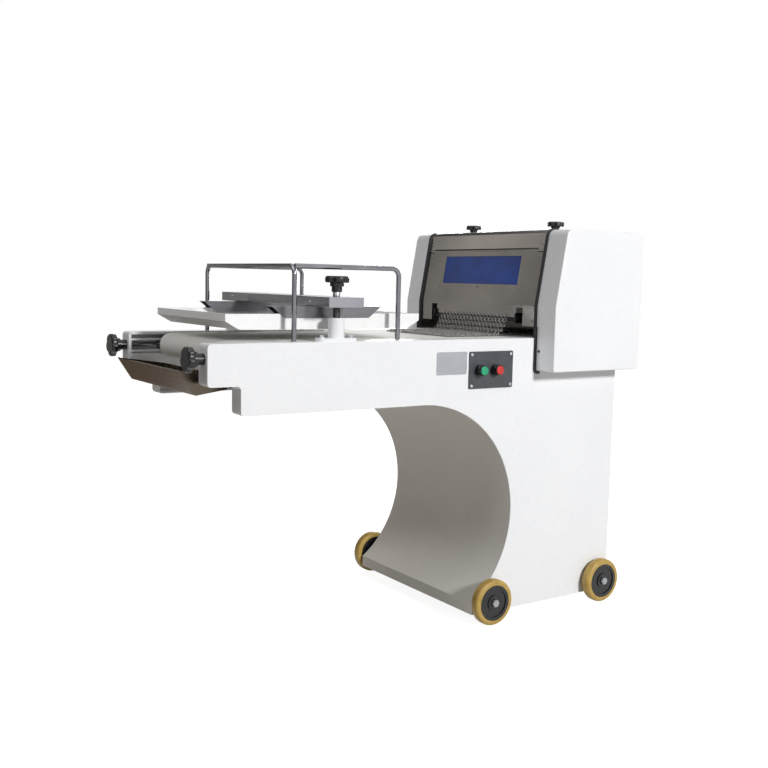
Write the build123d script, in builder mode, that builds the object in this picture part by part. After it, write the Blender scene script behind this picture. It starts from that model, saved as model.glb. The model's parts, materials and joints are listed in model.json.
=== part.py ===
# A dough moulder on wheels: sheeting head, conveyor and pressure board.
# X runs along the conveyor: the discharge end is at -X and the hood at +X.
# The operator stands on the -Y side. Z is up and the floor is z = 0. Sizes are in millimetres.
from math import acos, cos, pi, radians, sin, sqrt, tan
import os

from build123d import *

os.makedirs("parts", exist_ok=True)

# Fits
running_gap = 0.05  # radial, a shaft in its bearing
seat_gap = 0.05  # radial, a piece fixed on its shaft
moving_gap = 0.3  # between pieces that move past each other
thread_gap = 0.3  # radial, a screw in its nut

# Folded body
panel_width = 546.0
sheet = 3.0
rail_width = 48.0
table_z = 773.0
arm_front_x = -625.0
tongue_length = 82.0
tongue_depth = 97.0
arm_depth = 166.0
scoop_x = -32.0
scoop_r = 303.0
toe_z = 58.5
base_z = 27.5
column_rear_x = 653.5
bend_r = 10.0
rail_depth = 80.0
rail_end_x = 524.0
rear_sheet = 2.0
rear_margin = 18.0
louvre_length = 90.0
louvre_height = 5.0
louvre_pitch = 16.0
louvre_count = 9
louvre_base_z = 330.0

# Base frame and wheels
front_axle_x = 196.0
rear_axle_x = 606.5
axle_d = 14.0
axle_head_d = 21.0
axle_head_t = 6.0
frame_tube = 30.0
frame_rail_setin = 80.0  # long tube behind the web
wheel_d = 125.0
wheel_width = 28.0
wheel_gap = 8.0
core_d = 97.0
core_recess = 2.5
core_recess_d = 78.0
hub_d = 44.0
tyre_edge_r = 8.0

# Conveyor
belt_drop = 2.7  # belt top below the rail top
belt_t = 2.0
belt_gap = 0.3
belt_side_gap = 10.0  # belt edge to the inner rail
roller_d = 60.0
roller_overhang = 2.0  # roller past the belt edge
idler_setback = 113.0  # idler axis behind the arm front
drive_x = 494.0
drive_shaft_d = 25.0
idler_shaft_d = 20.0
bed_t = 3.0
bed_start_gap = 70.0
bed_end_gap = 45.0
block_length = 50.0
block_height = 25.0
block_inner_gap = 2.5  # between the idler end and the block
block_depth = 42.0
bar_height = 5.0
slot_margin = 4.0
slot_length = 176.0
lower_slot = 4.0
tension_d = 12.0
collar_d = 20.0
collar_t = 6.0
bearing_d = 62.0
bearing_t = 8.0

# Star knobs
knob_d = 60.0
knob_cap = 16.0
knob_hub = 22.0
knob_hub_d = 34.0
knob_neck_d = 26.0
knob_neck_part = 0.6  # of the hub, below its shoulder
knob_lobes = 5
knob_scallop_r = 15.0
knob_scallop_circle_r = 41.0
knob_lobe_r = 7.0
knob_edge_r = 6.0
knob_under_r = 4.5
screw_in_knob = 12.0
tension_knob_hub = 27.7
gap_knob_d = 48.0
gap_knob_cap = 14.0
gap_knob_hub = 10.0
gap_screw_in_knob = 8.0

# Discharge tray
tray_side_gap = 25.0  # tray end to the inner rail
tray_sheet = 2.0
tray_lip_reach = 38.0
tray_lip_z = 709.0
tray_front_z = 651.0
tray_rear_z = 663.0
tray_back_z = 692.0
tray_ear_length = 46.0
tray_ear_start = 26.0

# Wire guard
guard_rod_d = 12.0
guard_setin = 27.0  # rod axis behind the outer face of the panel
guard_front_x = -395.0
guard_rear_x = -100.0
guard_height = 177.0  # rod axis above the rail top
guard_bend_r = 20.0

# Bridge, posts and pressure board
bridge_x = -281.0
bridge_width = 96.0
bridge_overhang = 22.0  # bridge past the panel on each side
bridge_height = 24.0
bridge_wall = 3.0
bridge_edge_r = 2.0
post_d = 40.0
post_height = 56.0
bridge_lift = 26.0  # bridge above the posts
post_foot_length = 110.0
post_foot_width = 44.0
post_foot_t = 8.0
post_bolt_span = 80.0
post_bolt_d = 9.0
spindle_d = 17.0
spindle_stem_d = 15.0
spindle_stem = 12.0
spindle_depth = 43.0  # spindle inside the post
spindle_shoulder_d = 28.0
board_gap = 29.7  # board above the belt
board_front_x = -553.0
board_length = 545.0
board_belt_inset = 7.0  # board side behind the belt edge
board_height = 37.0
board_wall = 4.0
board_cut_x = 36.0
board_cut_z = 20.0
beam_length = 308.0
beam_cut = 36.0
beam_wall = 2.0
beam_depth = 28.0
beam_width = 32.0

# Hood
cover_depth = 72.0
cover_sheet = 2.0
cover_bottom = -89.0  # against the rail top
cover_front_x = 343.0
cover_rear_x = 669.0
kink_height = 87.0
cover_height = 295.0
cover_lean = 36.0  # the slope from the kink to the top
cover_corner_r = 22.0
cover_edge_r = 5.0
cover_rim_r = 3.0
trim_t = 4.0
trim_width = 9.0
lip_t = 9.0
lip_width = 3.0
lip_rise = 30.0  # lip above the rail top
lip_foot = 14.0  # lip under the lower edge of the cover
trim_top_x = 394.0
head_plate_t = 8.0
head_front_inset = 4.5
head_corner_r = 34.0
head_rear_x = 655.0
hood_top = 294.0  # underside of the top sheet above the rail top
hood_sheet = 2.0
hood_inset = 1.5  # hood front behind the cover front
hood_lap = 3.0  # hood sheet over the head plates
hood_bend_r = 12.0
hinge_height = 240.0
hinge_pin_d = 5.0
hinge_roll_d = 9.0
hinge_seam = 1.2
hinge_end_knuckle = 25.0  # length of the hood's knuckles
guard_side_gap = 0.5  # guard sheet to the trim
guard_edge_height = 52.0  # lower edge of the front guard above the rail top
guard_tab_height = 30.0
notch_gap = 3.0  # guard sheet to the curtain brackets
notch_width = 27.0
notch_height = 80.0
window_width = 345.0
window_low = 143.0
window_high = 224.0
window_lap = 10.0
window_t = 3.0
infeed_front_x = 536.0
infeed_length = 96.0
infeed_width = 300.0
infeed_flange = 12.0
infeed_sheet = 2.0
infeed_front_drop = 60.0
infeed_rear_drop = 24.0
infeed_foot_x = 526.0
infeed_foot_height = 133.0

# Sheeting head
head_x = 480.0
sheeter_d = 100.0
sheeter_end_gap = 23.7  # roller end to the yoke arm
lower_axis_height = 89.0
nip_gap = 3.0
sheeter_shaft_d = 25.0
yoke_arm_width = 40.0
yoke_arm_t = 21.0
yoke_beam_gap = 7.0  # beam above the upper roller
yoke_beam_t = 20.0
yoke_foot = 20.0
gap_travel = 8.0
guide_width = 10.0
guide_depth = 11.0
gap_screw_setin = 58.7  # gap screw inside the yoke arm
gap_screw_d = 12.0
gap_screw_stem = 3.0
gear_teeth = 20
gear_width = 18.0
gear_setoff = 8.0
gear_backlash = 0.8
pressure_angle = 20.0
gear_root_room = 1.3  # tooth tip to the root of the other gear
gear_hub_d = 44.0
chain_setoff = 39.0
chain_pitch = 12.7
chain_width = 10.0
chain_half_depth = 4.5
lower_sprocket_teeth = 25
drive_sprocket_teeth = 16
motor_sprocket_teeth = 12
sprocket_tooth_drop = 5.0
sprocket_flank = 80.0
shaft_end = 4.0
scraper_t = 3.0
scraper_length = 24.0
scraper_gap = 0.6
lower_scraper_angle = 215.0
upper_scraper_angle = 100.0

# Curtain
curtain_rod_d = 8.0
curtain_rod_x = 342.0
curtain_rod_height = 45.0
curtain_side_gap = 32.0  # curtain edge to its bracket
curtain_t = 3.0
curtain_reach_x = 144.0
curtain_bend_r = 24.0
curtain_top_gap = 0.3
curtain_fall = 10.0
mesh_pitch = 15.5
mesh_radius = 6.6
mesh_hang_radius = 5.3
mesh_columns = 19
mesh_rows = 11
bracket_width = 4.0
bracket_setin = 78.0  # bracket inside the head plate
bracket_drop = 8.0
bracket_rise = 20.0
bracket_nose = 6.0
bracket_arm_t = 6.0
bracket_arm_x = 360.0

# Motor
motor_x = 594.0
motor_drop = 53.0  # motor axis below the rail top
motor_d = 110.0
motor_length = 190.0
gearbox_size = 96.0
gearbox_length = 150.0
motor_shaft_d = 20.0
spigot_d = 50.0
motor_fins = 7
fin_gap = 9.0
fin_depth = 5.0

# Controls
plate_x = 184.25
plate_z = 691.5
plate_width = 148.5
plate_height = 98.0
plate_t = 3.0
plate_corner_r = 4.0
start_x = 143.0
stop_x = 196.0
button_hole_d = 22.0
collar_ring_d = 29.0
collar_ring_t = 14.0
button_d = 23.5
button_rise = 11.0
button_travel = 4.0
button_stem_d = 10.0
button_edge_r = 1.5
contact_width = 100.0
contact_height = 40.0
gland_y = -170.0
gland_z = 120.0
gland_d = 24.0
gland_nut_t = 6.7
gland_body = 6.6
gland_bore_d = 10.0

# Positions that follow from the sizes above
half_width = panel_width / 2
web_y = half_width - sheet
rail_y = half_width - rail_width
rail_middle_y = half_width - rail_width / 2
tension_y = rail_middle_y
post_y = rail_middle_y
guard_y = half_width - guard_setin
frame_rail_y = web_y - frame_rail_setin
belt_width = 2 * (rail_y - belt_side_gap)
board_width = belt_width - 2 * board_belt_inset
tray_width = 2 * (rail_y - tray_side_gap)
bridge_length = panel_width + 2 * bridge_overhang
step_x = arm_front_x + tongue_length
tongue_z = table_z - tongue_depth
arm_z = table_z - arm_depth
scoop_z = arm_z - scoop_r
toe_x = scoop_x + sqrt(scoop_r**2 - (scoop_z - toe_z) ** 2)
axle_z = wheel_d / 2
belt_top_z = table_z - belt_drop
roller_z = belt_top_z - belt_t - belt_gap - roller_d / 2
idler_x = arm_front_x + idler_setback
roller_half = belt_width / 2 + roller_overhang
block_inner_y = roller_half + block_inner_gap
rail_top_z = table_z - sheet
bed_top_z = belt_top_z - belt_t
bridge_z = table_z + post_height + bridge_lift
board_z = belt_top_z + board_gap
beam_top_z = bridge_z
cover_y = half_width
cover_out_y = half_width + cover_depth
kink_z = table_z + kink_height
cover_top_z = table_z + cover_height
cover_slope = cover_lean / (cover_height - kink_height)
hood_z = table_z + hood_top
head_inner_y = half_width - head_plate_t
hood_width = 2 * (head_inner_y + hood_lap)
guard_half = half_width - trim_width - guard_side_gap
hinge_leaf_end = guard_half - hinge_end_knuckle
bracket_start = head_inner_y - bracket_setin
notch_start = bracket_start - notch_gap
guard_tab_start = notch_start + notch_width
curtain_width = 2 * (bracket_start - curtain_side_gap)
hinge_z = table_z + hinge_height
lower_axis_z = table_z + lower_axis_height
upper_axis_z = lower_axis_z + sheeter_d + nip_gap
yoke_beam_z = upper_axis_z + sheeter_d / 2 + yoke_beam_gap
yoke_outer_y = head_inner_y - moving_gap
yoke_inner_y = yoke_outer_y - yoke_arm_t
sheeter_width = 2 * (yoke_inner_y - sheeter_end_gap)
gap_screw_y = yoke_inner_y - gap_screw_setin
gear_y = half_width + gear_setoff
gear_module = (sheeter_d + nip_gap) / gear_teeth
gear_pitch_r = gear_module * gear_teeth / 2
gear_base_r = gear_pitch_r * cos(radians(pressure_angle))
chain_y = half_width + chain_setoff
motor_z = table_z - motor_drop
rod_z = table_z + curtain_rod_height


def front_x(z, inset):
    return cover_front_x + inset + max(0.0, z - kink_z) * cover_slope


def sprocket_r(teeth):
    return chain_pitch / (2 * sin(pi / teeth))


def save(piece, name):
    piece.part.label = name
    export_step(piece.part, f"parts/{name}.step")


# Side panels: one folded pan each, with the arm, the step, the scoop and the column
with BuildSketch() as panel_outline:
    with BuildLine():
        FilletPolyline(
            (scoop_x, arm_z),
            (step_x, arm_z),
            (step_x, tongue_z),
            (arm_front_x, tongue_z),
            (arm_front_x, table_z),
            (column_rear_x, table_z),
            (column_rear_x, base_z),
            (toe_x, base_z),
            (toe_x, toe_z),
            radius=[bend_r] * 6 + [0],
        )
        ThreePointArc((toe_x, toe_z), (scoop_x + scoop_r, scoop_z), (scoop_x, arm_z))
    make_face()

# The rim is left out along the scoop and the toe, where the scoop sheet meets the web
with BuildSketch() as scoop_edge:
    with Locations((scoop_x, scoop_z)):
        Circle(scoop_r + sheet)
        Rectangle(2 * scoop_r, 4 * scoop_r, align=(Align.MIN, Align.CENTER), mode=Mode.INTERSECT)
    with Locations((toe_x, base_z)):
        Rectangle(sheet, toe_z - base_z, align=(Align.MIN, Align.MIN))

with BuildPart() as panel_blank:
    with BuildSketch(Plane.XZ.offset(web_y)):
        add(panel_outline.sketch_local)
    extrude(amount=sheet)
    with BuildSketch(Plane.XZ.offset(rail_y)):
        add(panel_outline.sketch_local)
        offset(panel_outline.sketch_local, amount=-sheet, mode=Mode.SUBTRACT)
        add(scoop_edge.sketch_local, mode=Mode.SUBTRACT)
    extrude(amount=web_y - rail_y)
    with BuildSketch(Plane.XZ.offset(web_y)):
        with Locations((front_axle_x, axle_z), (rear_axle_x, axle_z)):
            Circle(axle_d / 2 + running_gap)
        with Locations((drive_x, roller_z)):
            Circle(drive_shaft_d / 2 + running_gap)
    extrude(amount=sheet, mode=Mode.SUBTRACT)
    with BuildSketch(Plane.YZ.offset(arm_front_x)):
        with Locations((-tension_y, roller_z)):
            Circle(tension_d / 2 + thread_gap)
    extrude(amount=sheet, mode=Mode.SUBTRACT)

with BuildPart() as side_panel_near:
    add(panel_blank.part)
    with BuildSketch(Plane.XZ.offset(web_y)):
        with Locations((start_x, plate_z), (stop_x, plate_z)):
            Circle(button_hole_d / 2)
    extrude(amount=sheet, mode=Mode.SUBTRACT)
save(side_panel_near, "side_panel_near")

with BuildPart() as side_panel_far:
    mirror(panel_blank.part, about=Plane.XZ)
    with BuildSketch(Plane.XZ.offset(-half_width)):
        with Locations((motor_x, motor_z)):
            Circle(spigot_d / 2)
    extrude(amount=sheet, mode=Mode.SUBTRACT)
save(side_panel_far, "side_panel_far")

# Inner rails: the take-up block runs between two bars left standing in each rail
with BuildPart() as inner_rails:
    rail_start_x = arm_front_x + sheet
    slot_start_x = rail_start_x + slot_margin
    slot_half = block_height / 2
    with BuildSketch(Plane.XZ.offset(rail_y)) as rail_face:
        with Locations((rail_start_x, rail_top_z - rail_depth)):
            Rectangle(rail_end_x - rail_start_x, rail_depth, align=(Align.MIN, Align.MIN))
        front_top = rail_face.vertices().sort_by(Axis.X)[:2].sort_by(Axis.Y)[-1]
        fillet(front_top, radius=bend_r)
        with Locations((slot_start_x, roller_z - slot_half)):
            Rectangle(slot_length, block_height, align=(Align.MIN, Align.MIN), mode=Mode.SUBTRACT)
        with Locations((slot_start_x, roller_z + slot_half + bar_height)):
            upper_slot = rail_top_z - slot_margin - roller_z - slot_half - bar_height
            Rectangle(slot_length, upper_slot, align=(Align.MIN, Align.MIN), mode=Mode.SUBTRACT)
        with Locations((slot_start_x, roller_z - slot_half - bar_height - lower_slot)):
            Rectangle(slot_length, lower_slot, align=(Align.MIN, Align.MIN), mode=Mode.SUBTRACT)
        with Locations((drive_x, roller_z)):
            Circle(drive_shaft_d / 2 + moving_gap, mode=Mode.SUBTRACT)
    extrude(amount=sheet)
    mirror(about=Plane.XZ)
save(inner_rails, "inner_rails")

# Scoop sheet between the webs, with the upright lip at the toe
with BuildPart() as scoop_panel:
    back_r = scoop_r + sheet
    lip_back_x = toe_x + sheet
    lip_back_z = scoop_z - sqrt(back_r**2 - (lip_back_x - scoop_x) ** 2)
    with BuildSketch(Plane.XZ):
        with BuildLine():
            ThreePointArc((scoop_x, arm_z), (scoop_x + scoop_r, scoop_z), (toe_x, toe_z))
            Polyline((toe_x, toe_z), (toe_x, base_z), (lip_back_x, base_z), (lip_back_x, lip_back_z))
            ThreePointArc(
                (lip_back_x, lip_back_z), (scoop_x + back_r, scoop_z), (scoop_x, arm_z + sheet)
            )
            Line((scoop_x, arm_z + sheet), (scoop_x, arm_z))
        make_face()
    extrude(amount=web_y, both=True)
save(scoop_panel, "scoop_panel")

with BuildPart() as rear_panel:
    rear_low_z = base_z + rear_margin
    with BuildSketch(Plane.YZ.offset(column_rear_x)):
        with Locations((0, rear_low_z)):
            Rectangle(
                2 * (half_width - rear_margin),
                rail_top_z - rear_low_z,
                align=(Align.CENTER, Align.MIN),
            )
        for bank_y in (-louvre_length, louvre_length):
            for row in range(louvre_count):
                with Locations((bank_y, louvre_base_z + row * louvre_pitch)):
                    SlotOverall(louvre_length, louvre_height, mode=Mode.SUBTRACT)
        with Locations((gland_y, gland_z)):
            Circle(gland_d / 2 - sheet, mode=Mode.SUBTRACT)
    extrude(amount=rear_sheet)
save(rear_panel, "rear_panel")

# Welded ladder frame: two cross tubes with axle stubs, two long tubes between them
with BuildPart() as base_frame:
    stub_end_y = half_width + wheel_gap + wheel_width
    for axle_x in (front_axle_x, rear_axle_x):
        with BuildSketch(Plane.XZ):
            with Locations((axle_x, axle_z)):
                Rectangle(frame_tube, frame_tube)
        extrude(amount=web_y, both=True)
        with BuildSketch(Plane.XZ):
            with Locations((axle_x, axle_z)):
                Circle(axle_d / 2)
        extrude(amount=stub_end_y, both=True)
        for side in (-1, 1):
            with BuildSketch(Plane.XZ.offset(side * (stub_end_y + moving_gap))):
                with Locations((axle_x, axle_z)):
                    RegularPolygon(axle_head_d / 2, 6)
            extrude(amount=side * axle_head_t)
            with BuildSketch(Plane.XZ.offset(side * stub_end_y)):
                with Locations((axle_x, axle_z)):
                    Circle(axle_d / 2)
            extrude(amount=side * moving_gap)
    for rail_side in (-1, 1):
        with BuildSketch(Plane.YZ.offset(front_axle_x + frame_tube / 2)):
            with Locations((rail_side * frame_rail_y, axle_z)):
                Rectangle(frame_tube, frame_tube)
        extrude(amount=rear_axle_x - front_axle_x - frame_tube)
save(base_frame, "base_frame")


# Wheels: a black core on the stub and a cast polyurethane tyre around it
def wheel_piece(axle_x, side, inner_r, outer_r, is_tyre):
    inner_face_y = side * (half_width + wheel_gap)
    outer_face_y = side * (half_width + wheel_gap + wheel_width)
    middle_y = (inner_face_y + outer_face_y) / 2
    with BuildPart() as piece:
        with BuildSketch(Plane(origin=(axle_x, 0, axle_z), x_dir=(0, 1, 0), z_dir=(1, 0, 0))) as section:
            with Locations((middle_y, inner_r)):
                Rectangle(wheel_width, outer_r - inner_r, align=(Align.CENTER, Align.MIN))
            if is_tyre:
                fillet(section.vertices().sort_by(Axis.Y)[-2:], radius=tyre_edge_r)
            else:
                recess_depth = (core_recess_d - hub_d) / 2
                for face_y, towards in ((inner_face_y, side), (outer_face_y, -side)):
                    with Locations((face_y + towards * core_recess / 2, hub_d / 2)):
                        Rectangle(
                            core_recess,
                            recess_depth,
                            align=(Align.CENTER, Align.MIN),
                            mode=Mode.SUBTRACT,
                        )
        revolve(axis=Axis((axle_x, 0, axle_z), (0, 1, 0)))
    return piece


wheel_places = {
    "front_near": (front_axle_x, -1),
    "front_far": (front_axle_x, 1),
    "rear_near": (rear_axle_x, -1),
    "rear_far": (rear_axle_x, 1),
}
for place, (axle_x, side) in wheel_places.items():
    save(wheel_piece(axle_x, side, axle_d / 2 + running_gap, core_d / 2, False), f"wheel_core_{place}")
    save(wheel_piece(axle_x, side, core_d / 2, wheel_d / 2, True), f"tyre_{place}")

# Conveyor bed, belt and rollers
with BuildPart() as bed_plate:
    bed_start_x = idler_x + bed_start_gap
    with BuildSketch(Plane.XY.offset(bed_top_z - bed_t)):
        with Locations((bed_start_x, 0)):
            Rectangle(drive_x - bed_end_gap - bed_start_x, 2 * rail_y, align=(Align.MIN, Align.CENTER))
    extrude(amount=bed_t)
save(bed_plate, "bed_plate")

with BuildPart() as conveyor_belt:
    with BuildSketch(Plane.XZ):
        with Locations(((idler_x + drive_x) / 2, roller_z)):
            belt_inner = roller_d + 2 * belt_gap
            SlotCenterToCenter(drive_x - idler_x, belt_inner + 2 * belt_t)
            SlotCenterToCenter(drive_x - idler_x, belt_inner, mode=Mode.SUBTRACT)
    extrude(amount=belt_width / 2, both=True)
save(conveyor_belt, "conveyor_belt")


# Turned shape on an axis along Y: each step is (start y, end y, radius)
def turned(piece_axis, steps):
    with BuildPart() as shape:
        for start_y, end_y, step_r in steps:
            with BuildSketch(Plane.XZ.offset(-start_y)):
                with Locations(piece_axis):
                    Circle(step_r)
            extrude(amount=start_y - end_y)
    return shape.part


# A sprocket disc with pointed teeth, the chain plane at its middle
def sprocket(piece_axis, teeth):
    tip_r = sprocket_r(teeth) - moving_gap
    with BuildPart() as disc:
        with BuildSketch(Plane.XZ.offset(-chain_y - chain_width / 4)):
            with Locations(piece_axis):
                Circle(tip_r - sprocket_tooth_drop)
                with PolarLocations(tip_r - sprocket_tooth_drop, teeth):
                    Trapezoid(chain_pitch / 2, 2 * sprocket_tooth_drop, sprocket_flank, rotation=-90)
        extrude(amount=chain_width / 2)
    return disc.part


shaft_end_y = chain_y + chain_width / 2 + shaft_end
with BuildPart() as drive_roller:
    drive_axis = (drive_x, roller_z)
    drive_steps = [
        (-roller_half, roller_half, roller_d / 2),
        (-half_width - bearing_t - shaft_end, shaft_end_y, drive_shaft_d / 2),
    ]
    add(turned(drive_axis, drive_steps))
    add(sprocket(drive_axis, drive_sprocket_teeth))
save(drive_roller, "drive_roller")

with BuildPart() as idler_roller:
    idler_end_y = tension_y - tension_d / 2 - shaft_end
    idler_steps = [
        (-roller_half, roller_half, roller_d / 2),
        (-idler_end_y, idler_end_y, idler_shaft_d / 2),
    ]
    add(turned((idler_x, roller_z), idler_steps))
save(idler_roller, "idler_roller")

# Take-up blocks: bored for the idler shaft, threaded along X for the tension screw
with BuildPart() as takeup_blocks:
    with BuildSketch(Plane.XZ.offset(block_inner_y)) as block_face:
        with Locations((idler_x, roller_z)):
            Rectangle(block_length, block_height - 2 * moving_gap)
    extrude(amount=block_depth)
    with BuildSketch(Plane.XZ.offset(block_inner_y)):
        with Locations((idler_x, roller_z)):
            Circle(idler_shaft_d / 2 + running_gap)
    extrude(amount=idler_end_y + moving_gap - block_inner_y, mode=Mode.SUBTRACT)
    with BuildSketch(Plane.YZ.offset(idler_x)):
        with Locations((-tension_y, roller_z)):
            Circle(tension_d / 2 + thread_gap)
    extrude(amount=block_length, both=True, mode=Mode.SUBTRACT)
    mirror(about=Plane.XZ)
save(takeup_blocks, "takeup_blocks")


# Five-lobed star knob on a stepped hub, standing on the given plane
def star_knob(base, diameter, cap, hub, bore_d, bore_depth):
    size = diameter / knob_d
    with BuildPart() as knob:
        with BuildSketch(base.offset(hub)) as star:
            Circle(diameter / 2)
            with PolarLocations(knob_scallop_circle_r * size, knob_lobes):
                Circle(knob_scallop_r * size, mode=Mode.SUBTRACT)
            fillet(star.vertices(), radius=knob_lobe_r * size)
        extrude(amount=cap)
        ends = knob.faces().sort_by(Axis(base.origin, base.z_dir))
        fillet(ends[-1].edges(), radius=knob_edge_r * size)
        fillet(ends[0].edges(), radius=knob_under_r * size)
        with BuildSketch(base):
            Circle(knob_neck_d * size / 2)
        extrude(amount=hub)
        with BuildSketch(base.offset(hub * knob_neck_part)):
            Circle(knob_hub_d * size / 2)
        extrude(amount=hub - hub * knob_neck_part)
        with BuildSketch(base):
            Circle(bore_d / 2 + seat_gap)
        extrude(amount=bore_depth, mode=Mode.SUBTRACT)
    return knob


# Tension screws: held in the arm front between an inner collar and the hub of the knob
def tension_screw(side):
    with BuildPart() as screw:
        inner_face_x = arm_front_x + sheet + moving_gap
        outer_face_x = arm_front_x - moving_gap
        steps = (
            (outer_face_x - screw_in_knob, slot_start_x + slot_length, tension_d),
            (inner_face_x, inner_face_x + collar_t, collar_d),
        )
        for start_x, end_x, step_d in steps:
            with BuildSketch(Plane.YZ.offset(start_x)):
                with Locations((side * tension_y, roller_z)):
                    Circle(step_d / 2)
            extrude(amount=end_x - start_x)
    return screw


for side, place in ((-1, "near"), (1, "far")):
    save(tension_screw(side), f"tension_screw_{place}")
    knob_base = Plane(
        origin=(arm_front_x - moving_gap, side * tension_y, roller_z),
        x_dir=(0, 0, 1),
        z_dir=(-1, 0, 0),
    )
    tension_knob = star_knob(knob_base, knob_d, knob_cap, tension_knob_hub, tension_d, screw_in_knob)
    save(tension_knob, f"tension_knob_{place}")

# Flange bearings on the outer faces of the panels and the head plates
with BuildPart() as flange_bearings:
    driven_shafts = ((drive_x, roller_z, drive_shaft_d), (head_x, lower_axis_z, sheeter_shaft_d))
    for axis_x, axis_z, bore_d in driven_shafts:
        with BuildSketch(Plane.XZ.offset(half_width)):
            with Locations((axis_x, axis_z)):
                Circle(bearing_d / 2)
                Circle(bore_d / 2 + running_gap, mode=Mode.SUBTRACT)
        extrude(amount=bearing_t)
    for far_x, far_z, far_d in driven_shafts:
        with BuildSketch(Plane.XZ.offset(-half_width)):
            with Locations((far_x, far_z)):
                Circle(bearing_d / 2)
                Circle(far_d / 2 + running_gap, mode=Mode.SUBTRACT)
        extrude(amount=-(gear_setoff - moving_gap))
save(flange_bearings, "flange_bearings")

# Discharge tray: one folded sheet with closed ends, hung from the rails by two ears
with BuildPart() as discharge_tray:
    tray_back_x = step_x + 2 * tray_sheet
    tray_points = [
        (arm_front_x - tray_lip_reach, tray_lip_z),
        (arm_front_x, tray_front_z),
        (step_x, tray_rear_z),
        (tray_back_x, tray_back_z),
    ]
    with BuildSketch(Plane.XZ):
        with BuildLine():
            FilletPolyline(*tray_points, radius=bend_r)
        trace(line_width=tray_sheet)
    extrude(amount=tray_width / 2, both=True)
    with BuildSketch(Plane.XZ.offset(tray_width / 2 - tray_sheet)):
        with BuildLine():
            FilletPolyline(*tray_points, radius=bend_r)
            Line(tray_points[-1], tray_points[0])
        make_face()
    extrude(amount=tray_sheet)
    with BuildSketch(Plane.XY.offset(tray_back_z)):
        with Locations((arm_front_x + tray_ear_start, -tray_width / 2 + tray_sheet)):
            ear_width = rail_y - tray_width / 2 + tray_sheet
            Rectangle(tray_ear_length, ear_width, align=(Align.MIN, Align.MAX))
    extrude(amount=tray_sheet)
    mirror(about=Plane.XZ)
save(discharge_tray, "discharge_tray")

# Wire guard: a front hoop across the rails and a bent rod along each side
guard_top_z = table_z + guard_height
with BuildPart() as guard_hoop:
    with BuildLine(Plane.YZ.offset(guard_front_x)) as hoop_path:
        FilletPolyline(
            (-guard_y, table_z),
            (-guard_y, guard_top_z),
            (guard_y, guard_top_z),
            (guard_y, table_z),
            radius=guard_bend_r,
        )
    with BuildSketch(Plane(origin=(guard_front_x, -guard_y, table_z))):
        Circle(guard_rod_d / 2)
    sweep()
save(guard_hoop, "guard_hoop")

with BuildPart() as guard_side_rods:
    with BuildLine(Plane.XZ.offset(guard_y)):
        FilletPolyline(
            (guard_rear_x, table_z),
            (guard_rear_x, guard_top_z),
            (guard_front_x, guard_top_z),
            radius=guard_bend_r,
        )
    with BuildSketch(Plane(origin=(guard_rear_x, -guard_y, table_z))):
        Circle(guard_rod_d / 2)
    sweep()
    mirror(about=Plane.XZ)
    add(guard_hoop.part, mode=Mode.SUBTRACT)
save(guard_side_rods, "guard_side_rods")

# Posts on the rails: the near one is the nut of the spindle, the far one guides a pin
with BuildPart() as bridge_posts:
    with BuildSketch(Plane.XY.offset(table_z)):
        with Locations((bridge_x, -post_y)):
            SlotOverall(post_foot_length, post_foot_width)
            with GridLocations(post_bolt_span, 1, 2, 1):
                Circle(post_bolt_d / 2, mode=Mode.SUBTRACT)
    extrude(amount=post_foot_t)
    with BuildSketch(Plane.XY.offset(table_z)):
        with Locations((bridge_x, -post_y)):
            Circle(post_d / 2)
    extrude(amount=post_height)
    fillet(bridge_posts.faces().sort_by(Axis.Z)[-1].edges(), radius=bridge_edge_r)
    with BuildSketch(Plane.XY.offset(table_z)):
        with Locations((bridge_x, -post_y)):
            Circle(spindle_d / 2 + running_gap)
    extrude(amount=post_height, mode=Mode.SUBTRACT)
    mirror(about=Plane.XZ)
save(bridge_posts, "bridge_posts")

pin_foot_z = table_z + post_height - spindle_depth
with BuildPart() as bridge_channel:
    with BuildSketch(Plane.XY.offset(bridge_z)):
        with Locations((bridge_x, 0)):
            Rectangle(bridge_width, bridge_length)
    extrude(amount=bridge_height)
    fillet(bridge_channel.edges().filter_by(Axis.Y), radius=bridge_edge_r)
    with BuildSketch(Plane.XY.offset(bridge_z + bridge_wall)):
        with Locations((bridge_x, 0)):
            Rectangle(bridge_width - 2 * bridge_wall, bridge_length - 2 * bridge_wall)
    extrude(amount=bridge_height - 2 * bridge_wall, mode=Mode.SUBTRACT)
    with BuildSketch(Plane.XY.offset(bridge_z)):
        with Locations((bridge_x, -post_y)):
            Circle(spindle_d / 2 + moving_gap)
    extrude(amount=bridge_wall, mode=Mode.SUBTRACT)
    with BuildSketch(Plane.XY.offset(bridge_z + bridge_height - bridge_wall)):
        with Locations((bridge_x, -post_y)):
            Circle(spindle_stem_d / 2 + moving_gap)
    extrude(amount=bridge_wall, mode=Mode.SUBTRACT)
    with BuildSketch(Plane.XY.offset(pin_foot_z)):
        with Locations((bridge_x, post_y)):
            Circle(spindle_d / 2)
    extrude(amount=bridge_z + bridge_height - bridge_wall - pin_foot_z)
save(bridge_channel, "bridge_channel")

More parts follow.
